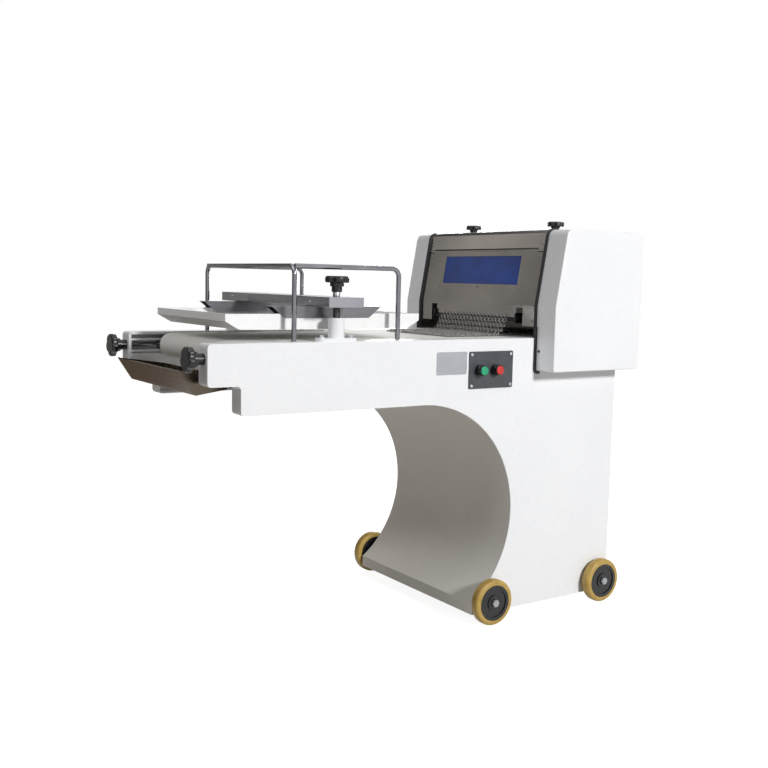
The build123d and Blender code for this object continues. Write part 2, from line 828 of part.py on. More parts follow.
# Spindle: threaded foot, a shoulder held inside the bridge and a bright stem to the knob
with BuildPart() as height_spindle:
    stem_top_z = bridge_z + bridge_height + spindle_stem
    spindle_steps = (
        (pin_foot_z, bridge_z + bridge_wall + moving_gap, spindle_d),
        (
            bridge_z + bridge_wall + moving_gap,
            bridge_z + bridge_height - bridge_wall - moving_gap,
            spindle_shoulder_d,
        ),
        (bridge_z + bridge_height - bridge_wall - moving_gap, stem_top_z + screw_in_knob, spindle_stem_d),
    )
    for low_z, high_z, step_d in spindle_steps:
        with BuildSketch(Plane.XY.offset(low_z)):
            with Locations((bridge_x, -post_y)):
                Circle(step_d / 2)
        extrude(amount=high_z - low_z)
save(height_spindle, "height_spindle")

height_knob_base = Plane(origin=(bridge_x, -post_y, stem_top_z))
height_knob = star_knob(height_knob_base, knob_d, knob_cap, knob_hub, spindle_stem_d, screw_in_knob)
save(height_knob, "height_knob")

# Pressure board: an open white tray with both ends cut up from below
with BuildPart() as pressure_board:
    board_rear_x = board_front_x + board_length
    with BuildSketch(Plane.XZ):
        Polygon(
            (board_front_x, board_z + board_height),
            (board_front_x, board_z + board_cut_z),
            (board_front_x + board_cut_x, board_z),
            (board_rear_x - board_cut_x, board_z),
            (board_rear_x, board_z + board_cut_z),
            (board_rear_x, board_z + board_height),
            align=None,
        )
    extrude(amount=board_width / 2, both=True)
    offset(amount=-board_wall, openings=pressure_board.faces().sort_by(Axis.Z)[-1], kind=Kind.INTERSECTION)
save(pressure_board, "pressure_board")

# Hanger beams: inverted channels astride the long rims of the board, cut back at both ends
with BuildPart() as hanger_beams:
    beam_out_y = board_width / 2 + beam_wall
    beam_low_z = beam_top_z - beam_depth
    with BuildSketch(Plane.XZ.offset(beam_out_y)):
        Polygon(
            (bridge_x - beam_length / 2, beam_top_z),
            (bridge_x + beam_length / 2, beam_top_z),
            (bridge_x + beam_length / 2 - beam_cut, beam_low_z),
            (bridge_x - beam_length / 2 + beam_cut, beam_low_z),
            align=None,
        )
    extrude(amount=-beam_width)
    with BuildSketch(Plane.YZ.offset(bridge_x)):
        with Locations((-beam_out_y + beam_wall, beam_low_z)):
            Rectangle(beam_width - 2 * beam_wall, beam_depth - beam_wall, align=(Align.MIN, Align.MIN))
    extrude(amount=beam_length, both=True, mode=Mode.SUBTRACT)
    mirror(about=Plane.XZ)
save(hanger_beams, "hanger_beams")

# Hood side covers and the rubber trim on their front edges
with BuildSketch() as cover_outline:
    with BuildLine():
        FilletPolyline(
            (cover_front_x, table_z + cover_bottom),
            (cover_front_x, kink_z),
            (cover_front_x + cover_lean, cover_top_z),
            (cover_rear_x, cover_top_z),
            (cover_rear_x, table_z + cover_bottom),
            radius=[cover_edge_r, cover_corner_r, cover_corner_r, bend_r, cover_edge_r],
            close=True,
        )
    make_face()


def side_cover():
    with BuildPart() as cover:
        with BuildSketch(Plane.XZ.offset(cover_y)):
            add(cover_outline.sketch_local)
        extrude(amount=cover_depth)
        fillet(cover.faces().sort_by(Axis.Y)[0].edges(), radius=cover_rim_r)
        offset(amount=-cover_sheet, openings=cover.faces().sort_by(Axis.Y)[-1])
    return cover.part


with BuildPart() as side_cover_near:
    add(side_cover())
save(side_cover_near, "side_cover_near")

with BuildPart() as side_cover_far:
    mirror(side_cover_near.part, about=Plane.XZ)
save(side_cover_far, "side_cover_far")

with BuildPart() as cover_trim:
    trim_reach = 2 * cover_lean + trim_top_x - cover_front_x
    with BuildSketch(Plane.XZ.offset(cover_y - trim_width)):
        offset(cover_outline.sketch_local, amount=trim_t)
        offset(cover_outline.sketch_local, amount=-cover_sheet, mode=Mode.SUBTRACT)
        with Locations((trim_top_x, table_z + moving_gap)):
            Rectangle(trim_reach, 2 * cover_height, align=(Align.MAX, Align.MIN), mode=Mode.INTERSECT)
    extrude(amount=trim_width)
    # below the rail top the trim is a lip in front of the cover
    with BuildSketch(Plane.XZ.offset(cover_y)):
        offset(cover_outline.sketch_local, amount=lip_t)
        add(cover_outline.sketch_local, mode=Mode.SUBTRACT)
        with Locations((cover_front_x + lip_foot, table_z + lip_rise)):
            Rectangle(trim_reach, 2 * cover_height, align=(Align.MAX, Align.MAX), mode=Mode.INTERSECT)
    extrude(amount=lip_width)
    mirror(about=Plane.XZ)
save(cover_trim, "cover_trim")

# Head plates: carry the rollers, with upright guides for the arms of the yoke
with BuildPart() as head_plates:
    with BuildSketch(Plane.XZ.offset(head_inner_y)):
        with BuildLine():
            FilletPolyline(
                (front_x(table_z, head_front_inset), table_z),
                (front_x(kink_z, head_front_inset), kink_z),
                (front_x(hood_z, head_front_inset), hood_z),
                (head_rear_x, hood_z),
                (head_rear_x, table_z),
                radius=[0, bend_r, head_corner_r, head_corner_r, 0],
                close=True,
            )
        make_face()
        with Locations((head_x, lower_axis_z)):
            Circle(sheeter_shaft_d / 2 + running_gap, mode=Mode.SUBTRACT)
        with Locations((head_x, upper_axis_z + gap_travel / 2)):
            slot_d = sheeter_shaft_d + 2 * moving_gap
            SlotCenterToCenter(gap_travel, slot_d, rotation=90, mode=Mode.SUBTRACT)
    extrude(amount=head_plate_t)
    guide_low_z = upper_axis_z - yoke_foot
    for guide_side in (-1, 1):
        guide_x = head_x + guide_side * (yoke_arm_width / 2 + moving_gap + guide_width / 2)
        with BuildSketch(Plane.XZ.offset(head_inner_y)):
            with Locations((guide_x, guide_low_z)):
                Rectangle(guide_width, hood_z - guide_low_z, align=(Align.CENTER, Align.MIN))
        extrude(amount=-guide_depth)
    mirror(about=Plane.XZ)
save(head_plates, "head_plates")

# Hood shell: rear wall, top and the fixed front strip, with the hinge pin staked in its knuckles
hinge_x = front_x(hinge_z, hood_inset) + hinge_roll_d / 2 - hood_sheet / 2
knuckle_clear_z = hinge_z + hinge_roll_d / 2 + hinge_seam
with BuildPart() as hood_shell:
    sheet_middle = hood_inset + hood_sheet / 2
    top_middle_z = hood_z + hood_sheet / 2
    with BuildSketch(Plane.XZ):
        with BuildLine():
            FilletPolyline(
                (head_rear_x + hood_sheet / 2, table_z),
                (head_rear_x + hood_sheet / 2, top_middle_z),
                (front_x(top_middle_z, sheet_middle), top_middle_z),
                (front_x(hinge_z, sheet_middle), hinge_z),
                radius=hood_bend_r,
            )
        trace(line_width=hood_sheet)
    extrude(amount=hood_width / 2, both=True)
    with BuildSketch(Plane.XZ):
        with Locations((hinge_x, hinge_z)):
            Circle(hinge_roll_d / 2)
    extrude(amount=guard_half, both=True)
    with BuildSketch(Plane.YZ.offset(hinge_x - hinge_roll_d)):
        with Locations((0, knuckle_clear_z)):
            Rectangle(2 * hinge_leaf_end, 2 * hinge_roll_d, align=(Align.CENTER, Align.MAX))
    extrude(amount=2 * hinge_roll_d, mode=Mode.SUBTRACT)
    # both front corners are cut back behind the trim
    corner_cut = hood_width / 2 - guard_half
    corner_y = guard_half + corner_cut / 2
    with BuildSketch(Plane.XY.offset(hinge_z - hinge_roll_d)):
        with Locations((trim_top_x + moving_gap, -corner_y), (trim_top_x + moving_gap, corner_y)):
            Rectangle(trim_reach, corner_cut, align=(Align.MAX, Align.CENTER))
    extrude(amount=hood_top, mode=Mode.SUBTRACT)
    add(turned((hinge_x, hinge_z), [(-head_inner_y, head_inner_y, hinge_pin_d / 2)]))
    with BuildSketch(Plane.XY.offset(hood_z)):
        with Locations((infeed_front_x, 0)):
            Rectangle(infeed_length, infeed_width, align=(Align.MIN, Align.CENTER))
        with Locations((head_x, -gap_screw_y), (head_x, gap_screw_y)):
            Circle(gap_screw_d / 2 + thread_gap)
    extrude(amount=hood_sheet, mode=Mode.SUBTRACT)
save(hood_shell, "hood_shell")

# Front guard: bent sheet with a window opening, notches for the curtain brackets and hinge knuckles
guard_edge_z = table_z + guard_edge_height
guard_tab_z = table_z + guard_tab_height
with BuildPart() as front_guard:
    with BuildSketch(Plane.XZ):
        with BuildLine():
            FilletPolyline(
                (front_x(guard_tab_z, sheet_middle), guard_tab_z),
                (front_x(kink_z, sheet_middle), kink_z),
                (front_x(hinge_z, sheet_middle), hinge_z),
                radius=hood_bend_r,
            )
        trace(line_width=hood_sheet)
    extrude(amount=guard_half, both=True)
    # one long roll on the guard turns between the two knuckles of the hood
    with BuildSketch(Plane.XZ):
        with Locations((hinge_x, hinge_z)):
            Circle(hinge_roll_d / 2)
    extrude(amount=hinge_leaf_end - moving_gap, both=True)
    knuckle_y = (guard_half + hinge_leaf_end) / 2
    knuckle_low_z = hinge_z - hinge_roll_d / 2 - hinge_seam
    with BuildSketch(Plane.YZ.offset(hinge_x - hinge_roll_d)):
        with Locations((-knuckle_y, knuckle_low_z), (knuckle_y, knuckle_low_z)):
            knuckle_gap = hinge_end_knuckle + 2 * moving_gap
            Rectangle(knuckle_gap, 2 * hinge_roll_d, align=(Align.CENTER, Align.MIN))
    extrude(amount=2 * hinge_roll_d, mode=Mode.SUBTRACT)
    with BuildSketch(Plane.XZ):
        with Locations((hinge_x, hinge_z)):
            Circle(hinge_pin_d / 2 + running_gap)
    extrude(amount=hood_width / 2, both=True, mode=Mode.SUBTRACT)
    with BuildSketch(Plane.YZ.offset(cover_front_x - cover_lean)):
        with Locations((0, table_z)):
            Rectangle(2 * guard_tab_start, guard_edge_height, align=(Align.CENTER, Align.MIN))
        for notch_side in (-1, 1):
            with Locations((notch_side * (notch_start + notch_width / 2), table_z)):
                Rectangle(notch_width, notch_height, align=(Align.CENTER, Align.MIN))
        with Locations((0, table_z + window_low)):
            Rectangle(window_width, window_high - window_low, align=(Align.CENTER, Align.MIN))
    extrude(amount=3 * cover_lean, mode=Mode.SUBTRACT)
save(front_guard, "front_guard")

with BuildPart() as window:
    pane_inset = hood_inset + hood_sheet * sqrt(1 + cover_slope**2)
    pane_low_z = table_z + window_low - window_lap
    pane_high_z = table_z + window_high + window_lap
    pane_back = window_t * sqrt(1 + cover_slope**2)
    with BuildSketch(Plane.XZ):
        Polygon(
            (front_x(pane_low_z, pane_inset), pane_low_z),
            (front_x(pane_high_z, pane_inset), pane_high_z),
            (front_x(pane_high_z, pane_inset + pane_back), pane_high_z),
            (front_x(pane_low_z, pane_inset + pane_back), pane_low_z),
            align=None,
        )
    extrude(amount=window_width / 2 + window_lap, both=True)
save(window, "window")

# Infeed chute: a flanged funnel that leads the dough from the top opening to the nip
with BuildPart() as infeed_chute:
    chute_half = infeed_width / 2 - moving_gap
    chute_top_z = hood_z + hood_sheet
    chute_front_x = infeed_front_x + moving_gap + infeed_sheet / 2
    chute_rear_x = infeed_front_x + infeed_length - moving_gap - infeed_sheet / 2
    chute_foot_z = table_z + infeed_foot_height
    slide_points = [
        (chute_rear_x, chute_top_z),
        (chute_rear_x, chute_top_z - infeed_rear_drop),
        (infeed_foot_x, chute_foot_z),
    ]
    with BuildSketch(Plane.XZ):
        with BuildLine():
            FilletPolyline(*slide_points, radius=bend_r)
        trace(line_width=infeed_sheet)
        with Locations((chute_front_x, chute_top_z)):
            Rectangle(infeed_sheet, infeed_front_drop, align=(Align.CENTER, Align.MAX))
    extrude(amount=chute_half, both=True)
    cheek_x = chute_front_x - infeed_sheet / 2
    slide_run = (chute_top_z - infeed_rear_drop - chute_foot_z) / (chute_rear_x - infeed_foot_x)
    cheek_foot_z = chute_foot_z + (cheek_x - infeed_foot_x) * slide_run
    with BuildSketch(Plane.XZ.offset(chute_half - infeed_sheet)):
        Polygon(
            (cheek_x, chute_top_z),
            (chute_rear_x, chute_top_z),
            slide_points[1],
            (cheek_x, cheek_foot_z),
            align=None,
        )
    extrude(amount=infeed_sheet)
    mirror(about=Plane.XZ)
    with BuildSketch(Plane.XY.offset(chute_top_z)):
        with Locations((infeed_front_x + infeed_length / 2, 0)):
            RectangleRounded(infeed_length + 2 * infeed_flange, infeed_width + 2 * infeed_flange, bend_r)
            Rectangle(
                infeed_length - 2 * moving_gap - 2 * infeed_sheet,
                2 * chute_half - 2 * infeed_sheet,
                mode=Mode.SUBTRACT,
            )
    extrude(amount=infeed_sheet)
save(infeed_chute, "infeed_chute")

# Sheeting rollers, driven together by two meshing gears inside the far cover
sheeter_half = sheeter_width / 2
with BuildPart() as lower_roller:
    lower_steps = [
        (-sheeter_half, sheeter_half, sheeter_d / 2),
        (-half_width - bearing_t - shaft_end, shaft_end_y, sheeter_shaft_d / 2),
    ]
    add(turned((head_x, lower_axis_z), lower_steps))
    rims = lower_roller.edges().filter_by(GeomType.CIRCLE).sort_by(SortBy.RADIUS)[-2:]
    fillet(rims, radius=bridge_edge_r)
save(lower_roller, "lower_roller")

with BuildPart() as upper_roller:
    upper_steps = [
        (-sheeter_half, sheeter_half, sheeter_d / 2),
        (-yoke_outer_y, gear_y + gear_width + shaft_end / 2, sheeter_shaft_d / 2),
    ]
    add(turned((head_x, upper_axis_z), upper_steps))
    rims = upper_roller.edges().filter_by(GeomType.CIRCLE).sort_by(SortBy.RADIUS)[-2:]
    fillet(rims, radius=bridge_edge_r)
save(upper_roller, "upper_roller")


# Half the angle that an involute tooth fills at radius r
def half_tooth_angle(r):
    def roll(radius):
        slant = acos(min(1.0, gear_base_r / radius))
        return tan(slant) - slant

    at_pitch = (pi * gear_module / 2 - gear_backlash) / 2 / gear_pitch_r
    return at_pitch + roll(gear_pitch_r) - roll(r)


# Involute spur gear, its first tooth at the given angle
def spur_gear(piece_axis, first_angle):
    tip_r = gear_pitch_r + gear_module
    root_r = gear_pitch_r - gear_module - gear_root_room
    with BuildSketch() as tooth:
        with BuildLine():
            flank_ends = []
            for side in (-1, 1):
                flank = []
                for r in (gear_base_r, gear_pitch_r, tip_r):
                    angle = side * half_tooth_angle(r)
                    flank.append((r * cos(angle), r * sin(angle)))
                ThreePointArc(*flank)
                foot_angle = side * half_tooth_angle(gear_base_r)
                foot = (gear_hub_d / 2 * cos(foot_angle), gear_hub_d / 2 * sin(foot_angle))
                Line(foot, flank[0])
                flank_ends.append((foot, flank[-1]))
            Line(flank_ends[0][0], flank_ends[1][0])
            Line(flank_ends[0][1], flank_ends[1][1])
        make_face()
    with BuildPart() as gear:
        with BuildSketch(Plane.XZ.offset(-gear_y - gear_width)):
            with Locations(piece_axis):
                Circle(root_r)
                with PolarLocations(0, gear_teeth, start_angle=first_angle):
                    add(tooth.sketch_local)
                Circle(sheeter_shaft_d / 2 + seat_gap, mode=Mode.SUBTRACT)
        extrude(amount=gear_width)
    return gear.part


with BuildPart() as lower_gear:
    lower_axis = (head_x, lower_axis_z)
    add(spur_gear(lower_axis, 0))
    add(sprocket(lower_axis, lower_sprocket_teeth))
    add(turned(lower_axis, [(gear_y + gear_width, chain_y, gear_hub_d / 2)]))
    with BuildSketch(Plane.XZ.offset(-shaft_end_y)):
        with Locations(lower_axis):
            Circle(sheeter_shaft_d / 2 + seat_gap)
    extrude(amount=shaft_end_y - gear_y, mode=Mode.SUBTRACT)
save(lower_gear, "lower_gear")

with BuildPart() as upper_gear:
    add(spur_gear((head_x, upper_axis_z), 180 / gear_teeth))
save(upper_gear, "upper_gear")

# Scraper blades: bevelled strips that end just off the roller
def scraper(axis_z, angle, half_length):
    reach = sheeter_d / 2 + scraper_gap
    blade = Plane(
        origin=(head_x + reach * cos(radians(angle)), 0, axis_z + reach * sin(radians(angle))),
        x_dir=(cos(radians(angle)), 0, sin(radians(angle))),
        z_dir=(0, -1, 0),
    )
    with BuildPart() as strip:
        with BuildSketch(blade):
            Polygon(
                (0, 0),
                (scraper_t, scraper_t),
                (scraper_length, scraper_t),
                (scraper_length, 0),
                align=None,
            )
        extrude(amount=half_length, both=True)
    return strip.part


with BuildPart() as lower_scraper:
    add(scraper(lower_axis_z, lower_scraper_angle, head_inner_y))
save(lower_scraper, "lower_scraper")

# Yoke: carries the upper roller and its scraper, and is the nut of the two gap screws
with BuildPart() as gap_yoke:
    yoke_low_z = upper_axis_z - yoke_foot
    yoke_top_z = yoke_beam_z + yoke_beam_t
    with BuildSketch(Plane.YZ.offset(head_x)):
        with Locations((0, yoke_low_z)):
            Rectangle(2 * yoke_outer_y, yoke_top_z - yoke_low_z, align=(Align.CENTER, Align.MIN))
            Rectangle(
                2 * yoke_inner_y,
                yoke_beam_z - yoke_low_z,
                align=(Align.CENTER, Align.MIN),
                mode=Mode.SUBTRACT,
            )
    extrude(amount=yoke_arm_width / 2, both=True)
    add(scraper(upper_axis_z, upper_scraper_angle, yoke_inner_y))
    with BuildSketch(Plane.XZ):
        with Locations((head_x, upper_axis_z)):
            Circle(sheeter_shaft_d / 2 + running_gap)
    extrude(amount=half_width, both=True, mode=Mode.SUBTRACT)
    with BuildSketch(Plane.XY.offset(yoke_beam_z)):
        with Locations((head_x, -gap_screw_y), (head_x, gap_screw_y)):
            Circle(gap_screw_d / 2 + thread_gap)
    extrude(amount=yoke_beam_t, mode=Mode.SUBTRACT)
save(gap_yoke, "gap_yoke")

# Gap knobs, each moulded on its screw: two collars hold the screw in the top sheet
gap_foot_z = yoke_beam_z + gap_travel
gap_seat_z = hood_z + hood_sheet + moving_gap
for side, place in ((-1, "near"), (1, "far")):
    gap_knob_base = Plane(origin=(head_x, side * gap_screw_y, gap_seat_z + gap_screw_stem))
    with BuildPart() as gap_knob:
        knob_sizes = (gap_knob_d, gap_knob_cap, gap_knob_hub, gap_screw_d, gap_screw_in_knob)
        star = star_knob(gap_knob_base, *knob_sizes)
        add(star.part)
        screw_steps = (
            (gap_foot_z, gap_seat_z + gap_screw_stem + gap_screw_in_knob, gap_screw_d + 2 * seat_gap),
            (hood_z - moving_gap - collar_t, hood_z - moving_gap, collar_d),
            (gap_seat_z, gap_seat_z + gap_screw_stem / 2, collar_d),
        )
        for low_z, high_z, step_d in screw_steps:
            with BuildSketch(Plane.XY.offset(low_z)):
                with Locations((head_x, side * gap_screw_y)):
                    Circle(step_d / 2)
            extrude(amount=high_z - low_z)
    save(gap_knob, f"gap_knob_{place}")


# Curtain hanger: brackets that reach forward through the notches, joined by the rod
with BuildPart() as curtain_hanger:
    bracket_low_z = rod_z - bracket_drop
    bracket_high_z = rod_z + bracket_rise
    with BuildSketch(Plane.XZ.offset(bracket_start)):
        nose_x = curtain_rod_x - bracket_nose
        with BuildLine():
            FilletPolyline(
                (nose_x, bracket_high_z),
                (nose_x, bracket_low_z),
                (bracket_arm_x + bracket_arm_t, bracket_low_z),
                (bracket_arm_x + bracket_arm_t, bracket_high_z),
                radius=curtain_rod_d / 2,
                close=True,
            )
        make_face()
    extrude(amount=bracket_width)
    with BuildSketch(Plane.XZ.offset(bracket_start + bracket_width)):
        with Locations((bracket_arm_x, rod_z)):
            Rectangle(bracket_arm_t, bracket_rise - curtain_rod_d, align=(Align.MIN, Align.MIN))
    extrude(amount=head_inner_y - bracket_start - bracket_width)
    mirror(about=Plane.XZ)
    add(turned((curtain_rod_x, rod_z), [(-bracket_start, bracket_start, curtain_rod_d / 2)]))
save(curtain_hanger, "curtain_hanger")

# Chain-mesh curtain: hangs from the rod and trails on the belt
with BuildPart() as chain_curtain:
    lie_z = belt_top_z + moving_gap + curtain_t / 2
    hang_z = rod_z - curtain_rod_d / 2 - curtain_top_gap
    with BuildSketch(Plane.XZ):
        with BuildLine():
            FilletPolyline(
                (curtain_rod_x, hang_z),
                (curtain_rod_x - curtain_fall, lie_z),
                (curtain_reach_x, lie_z),
                radius=curtain_bend_r,
            )
        trace(line_width=curtain_t)
    extrude(amount=curtain_width / 2, both=True)
    with BuildSketch(Plane.XY.offset(belt_top_z)):
        with Locations((curtain_reach_x + mesh_pitch * (mesh_rows / 2 + 0.5), 0)):
            with GridLocations(mesh_pitch, mesh_pitch, mesh_rows, mesh_columns):
                RegularPolygon(mesh_radius, 4)
    extrude(amount=2 * curtain_t, mode=Mode.SUBTRACT)
    with BuildSketch(Plane.YZ.offset(curtain_rod_x - curtain_bend_r)):
        with Locations((0, hang_z - mesh_pitch / 2)):
            with GridLocations(mesh_pitch, mesh_pitch, mesh_columns, 1):
                RegularPolygon(mesh_hang_radius, 4)
    extrude(amount=2 * curtain_bend_r, mode=Mode.SUBTRACT)
save(chain_curtain, "chain_curtain")

# Control plate with two push buttons
with BuildPart() as control_plate:
    with BuildSketch(Plane.XZ.offset(half_width)):
        with Locations((plate_x, plate_z)):
            RectangleRounded(plate_width, plate_height, plate_corner_r)
        with Locations((start_x, plate_z), (stop_x, plate_z)):
            Circle(button_hole_d / 2, mode=Mode.SUBTRACT)
    extrude(amount=plate_t)
save(control_plate, "control_plate")

plate_face_y = half_width + plate_t
with BuildPart() as button_collars:
    with BuildSketch(Plane.XZ.offset(plate_face_y)):
        with Locations((start_x, plate_z), (stop_x, plate_z)):
            Circle(collar_ring_d / 2)
            Circle(button_d / 2 + moving_gap, mode=Mode.SUBTRACT)
    extrude(amount=collar_ring_t)
    fillet(button_collars.faces().group_by(Axis.Y)[0].edges(), radius=button_edge_r / 2)
save(button_collars, "button_collars")

contact_face_y = rail_y + rail_width / 2
for button_x, button_name in ((start_x, "start_button"), (stop_x, "stop_button")):
    with BuildPart() as button:
        button_front_y = plate_face_y + collar_ring_t + button_rise
        button_back_y = plate_face_y + button_travel + moving_gap
        with BuildSketch(Plane.XZ.offset(button_back_y)):
            with Locations((button_x, plate_z)):
                Circle(button_d / 2)
        extrude(amount=button_front_y - button_back_y)
        fillet(button.faces().sort_by(Axis.Y)[0].edges(), radius=button_edge_r)
        stem_foot_y = contact_face_y + button_travel + moving_gap
        with BuildSketch(Plane.XZ.offset(stem_foot_y)):
            with Locations((button_x, plate_z)):
                Circle(button_stem_d / 2)
        extrude(amount=button_back_y - stem_foot_y)
    save(button, button_name)

# Contact block, carried by the inner rail behind the buttons
with BuildPart() as contact_block:
    with BuildSketch(Plane.XZ.offset(contact_face_y)):
        with Locations(((start_x + stop_x) / 2, plate_z)):
            RectangleRounded(contact_width, contact_height, plate_corner_r)
    extrude(amount=rail_y + sheet - contact_face_y)
save(contact_block, "contact_block")

# Gearmotor flanged to the far panel
with BuildPart() as gearmotor:
    gearbox_y = web_y - gearbox_length
    with BuildSketch(Plane.XZ.offset(-web_y)):
        with Locations((motor_x, motor_z)):
            RectangleRounded(gearbox_size, gearbox_size, bend_r)
    extrude(amount=gearbox_length)
    add(turned((motor_x, motor_z), [(gearbox_y - motor_length, gearbox_y, motor_d / 2)]))
    for fin in range(motor_fins):
        fin_y = gearbox_y - (fin + 1) * 2 * fin_gap
        with BuildSketch(Plane.XZ.offset(-fin_y)):
            with Locations((motor_x, motor_z)):
                Circle(motor_d / 2)
                Circle(motor_d / 2 - fin_depth, mode=Mode.SUBTRACT)
        extrude(amount=fin_gap, mode=Mode.SUBTRACT)
    with BuildSketch(Plane.XZ.offset(-web_y)):
        with Locations((motor_x, motor_z)):
            Circle(motor_shaft_d / 2 + running_gap)
    extrude(amount=gearbox_length / 2, mode=Mode.SUBTRACT)
save(gearmotor, "gearmotor")

with BuildPart() as motor_sprocket:
    motor_axis = (motor_x, motor_z)
    shaft_foot_y = gearbox_y + gearbox_length / 2 + moving_gap
    add(turned(motor_axis, [(shaft_foot_y, shaft_end_y, motor_shaft_d / 2)]))
    add(sprocket(motor_axis, motor_sprocket_teeth))
save(motor_sprocket, "motor_sprocket")

# Drive chain round the three sprockets
with BuildPart() as drive_chain:
    chain_wheels = (
        (motor_x, motor_z, sprocket_r(motor_sprocket_teeth)),
        (drive_x, roller_z, sprocket_r(drive_sprocket_teeth)),
        (head_x, lower_axis_z, sprocket_r(lower_sprocket_teeth)),
    )
    with BuildSketch(Plane.XZ.offset(-chain_y - chain_width / 2)):
        with BuildLine():
            for wheel_x, wheel_z, wheel_r in chain_wheels:
                CenterArc((wheel_x, wheel_z), wheel_r + chain_half_depth, 0, 360)
        make_hull()
        with BuildSketch(mode=Mode.PRIVATE) as chain_inside:
            with BuildLine():
                for wheel_x, wheel_z, wheel_r in chain_wheels:
                    CenterArc((wheel_x, wheel_z), wheel_r, 0, 360)
            make_hull()
        add(chain_inside.sketch_local, mode=Mode.SUBTRACT)
    extrude(amount=chain_width)
save(drive_chain, "drive_chain")

with BuildPart() as cable_gland:
    gland_foot_x = column_rear_x + rear_sheet
    with BuildSketch(Plane.YZ.offset(gland_foot_x)):
        with Locations((gland_y, gland_z)):
            RegularPolygon(gland_d / 2 + sheet, 6)
    extrude(amount=gland_nut_t)
    with BuildSketch(Plane.YZ.offset(gland_foot_x + gland_nut_t)):
        with Locations((gland_y, gland_z)):
            Circle(gland_d / 2)
    extrude(amount=gland_body)
    with BuildSketch(Plane.YZ.offset(gland_foot_x)):
        with Locations((gland_y, gland_z)):
            Circle(gland_bore_d / 2)
    extrude(amount=gland_nut_t + gland_body, mode=Mode.SUBTRACT)
save(cable_gland, "cable_gland")
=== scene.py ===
import json
import math

import bmesh
import bpy
from mathutils import Matrix, Vector


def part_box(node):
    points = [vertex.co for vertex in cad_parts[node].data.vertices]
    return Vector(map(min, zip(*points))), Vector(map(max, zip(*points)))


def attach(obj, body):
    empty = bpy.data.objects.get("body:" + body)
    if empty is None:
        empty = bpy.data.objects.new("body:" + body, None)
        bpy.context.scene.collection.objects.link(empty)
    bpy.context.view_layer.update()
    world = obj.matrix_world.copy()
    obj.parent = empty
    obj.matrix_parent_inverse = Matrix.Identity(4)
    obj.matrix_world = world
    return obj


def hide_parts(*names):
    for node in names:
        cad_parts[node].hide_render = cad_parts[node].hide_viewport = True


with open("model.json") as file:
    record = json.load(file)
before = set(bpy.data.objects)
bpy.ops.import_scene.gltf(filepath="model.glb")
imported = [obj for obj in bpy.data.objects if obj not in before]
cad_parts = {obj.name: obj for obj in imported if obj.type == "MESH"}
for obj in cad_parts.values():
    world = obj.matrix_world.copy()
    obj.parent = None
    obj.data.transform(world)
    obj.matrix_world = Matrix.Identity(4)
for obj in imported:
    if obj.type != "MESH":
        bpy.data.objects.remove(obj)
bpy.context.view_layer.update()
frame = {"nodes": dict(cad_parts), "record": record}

scene = bpy.context.scene
nodes = frame["nodes"]
subparts = frame["record"]["subparts"]
mm = 0.001
print("frame loaded:", len(nodes), "CAD nodes")


def linear(hexColour):
    # sRGB hex to the linear colour that a socket takes
    shares = [int(hexColour[i:i + 2], 16) / 255 for i in (1, 3, 5)]
    bent = [s / 12.92 if s <= 0.04045 else ((s + 0.055) / 1.055) ** 2.4 for s in shares]
    return (*bent, 1.0)


def perMm(size):
    # texture scale that makes one feature this many millimetres wide
    return 1 / (size * mm)


def plug(tree, node, sockets):
    # another node's socket is linked, and a constant goes straight on the input itself
    for key, value in sockets.items():
        if isinstance(value, bpy.types.NodeSocket):
            tree.links.new(value, node.inputs[key])
        else:
            node.inputs[key].default_value = value


def addNode(tree, kind, sockets=None, stops=(), **settings):
    # one node: its inputs by name or number, the stops of a ramp, and its own settings
    node = tree.nodes.new(kind)
    for key, value in settings.items():
        setattr(node, key, value)
    for index, (position, colour) in enumerate(stops):
        node.color_ramp.elements[index].position = position
        node.color_ramp.elements[index].color = linear(colour)
    plug(tree, node, sockets or {})
    return node


def startMaterial(name, sockets):
    material = bpy.data.materials.new(name)
    material.use_nodes = True
    tree = material.node_tree
    shader = tree.nodes["Principled BSDF"]
    plug(tree, shader, sockets)
    return material, tree, shader


# Powder coat on folded sheet: a thick even film, semi-gloss, with a faint orange peel
coatSize = {"drift": 260.0, "speck": 9.0, "peel": 3.0, "peelDeep": 0.2}      # mm


def powderCoat(name, light, dark, gloss=0.3):
    material, tree, shader = startMaterial(name, {"IOR": 1.5})
    place = addNode(tree, "ShaderNodeTexCoord").outputs["Object"]
    drift = addNode(tree, "ShaderNodeTexNoise",
                    {"Vector": place, "Scale": perMm(coatSize["drift"]), "Detail": 3.0})
    speck = addNode(tree, "ShaderNodeTexNoise",
                    {"Vector": place, "Scale": perMm(coatSize["speck"]), "Detail": 2.0})
    tone = addNode(tree, "ShaderNodeMath", {0: drift.outputs[0], 1: speck.outputs[0]},
                   operation="MULTIPLY")
    colour = addNode(tree, "ShaderNodeValToRGB", {"Fac": tone.outputs[0]},
                     stops=((0.1, dark), (0.34, light)))
    sheen = addNode(tree, "ShaderNodeMapRange",
                    {"Value": drift.outputs[0], "To Min": gloss - 0.06, "To Max": gloss + 0.08})
    skin = addNode(tree, "ShaderNodeTexNoise",
                   {"Vector": place, "Scale": perMm(coatSize["peel"]), "Detail": 1.0})
    bump = addNode(tree, "ShaderNodeBump",
                   {"Height": skin.outputs[0], "Strength": 0.12,
                    "Distance": coatSize["peelDeep"] * mm})
    plug(tree, shader, {"Base Color": colour.outputs[0], "Roughness": sheen.outputs[0],
                        "Normal": bump.outputs[0]})
    return material


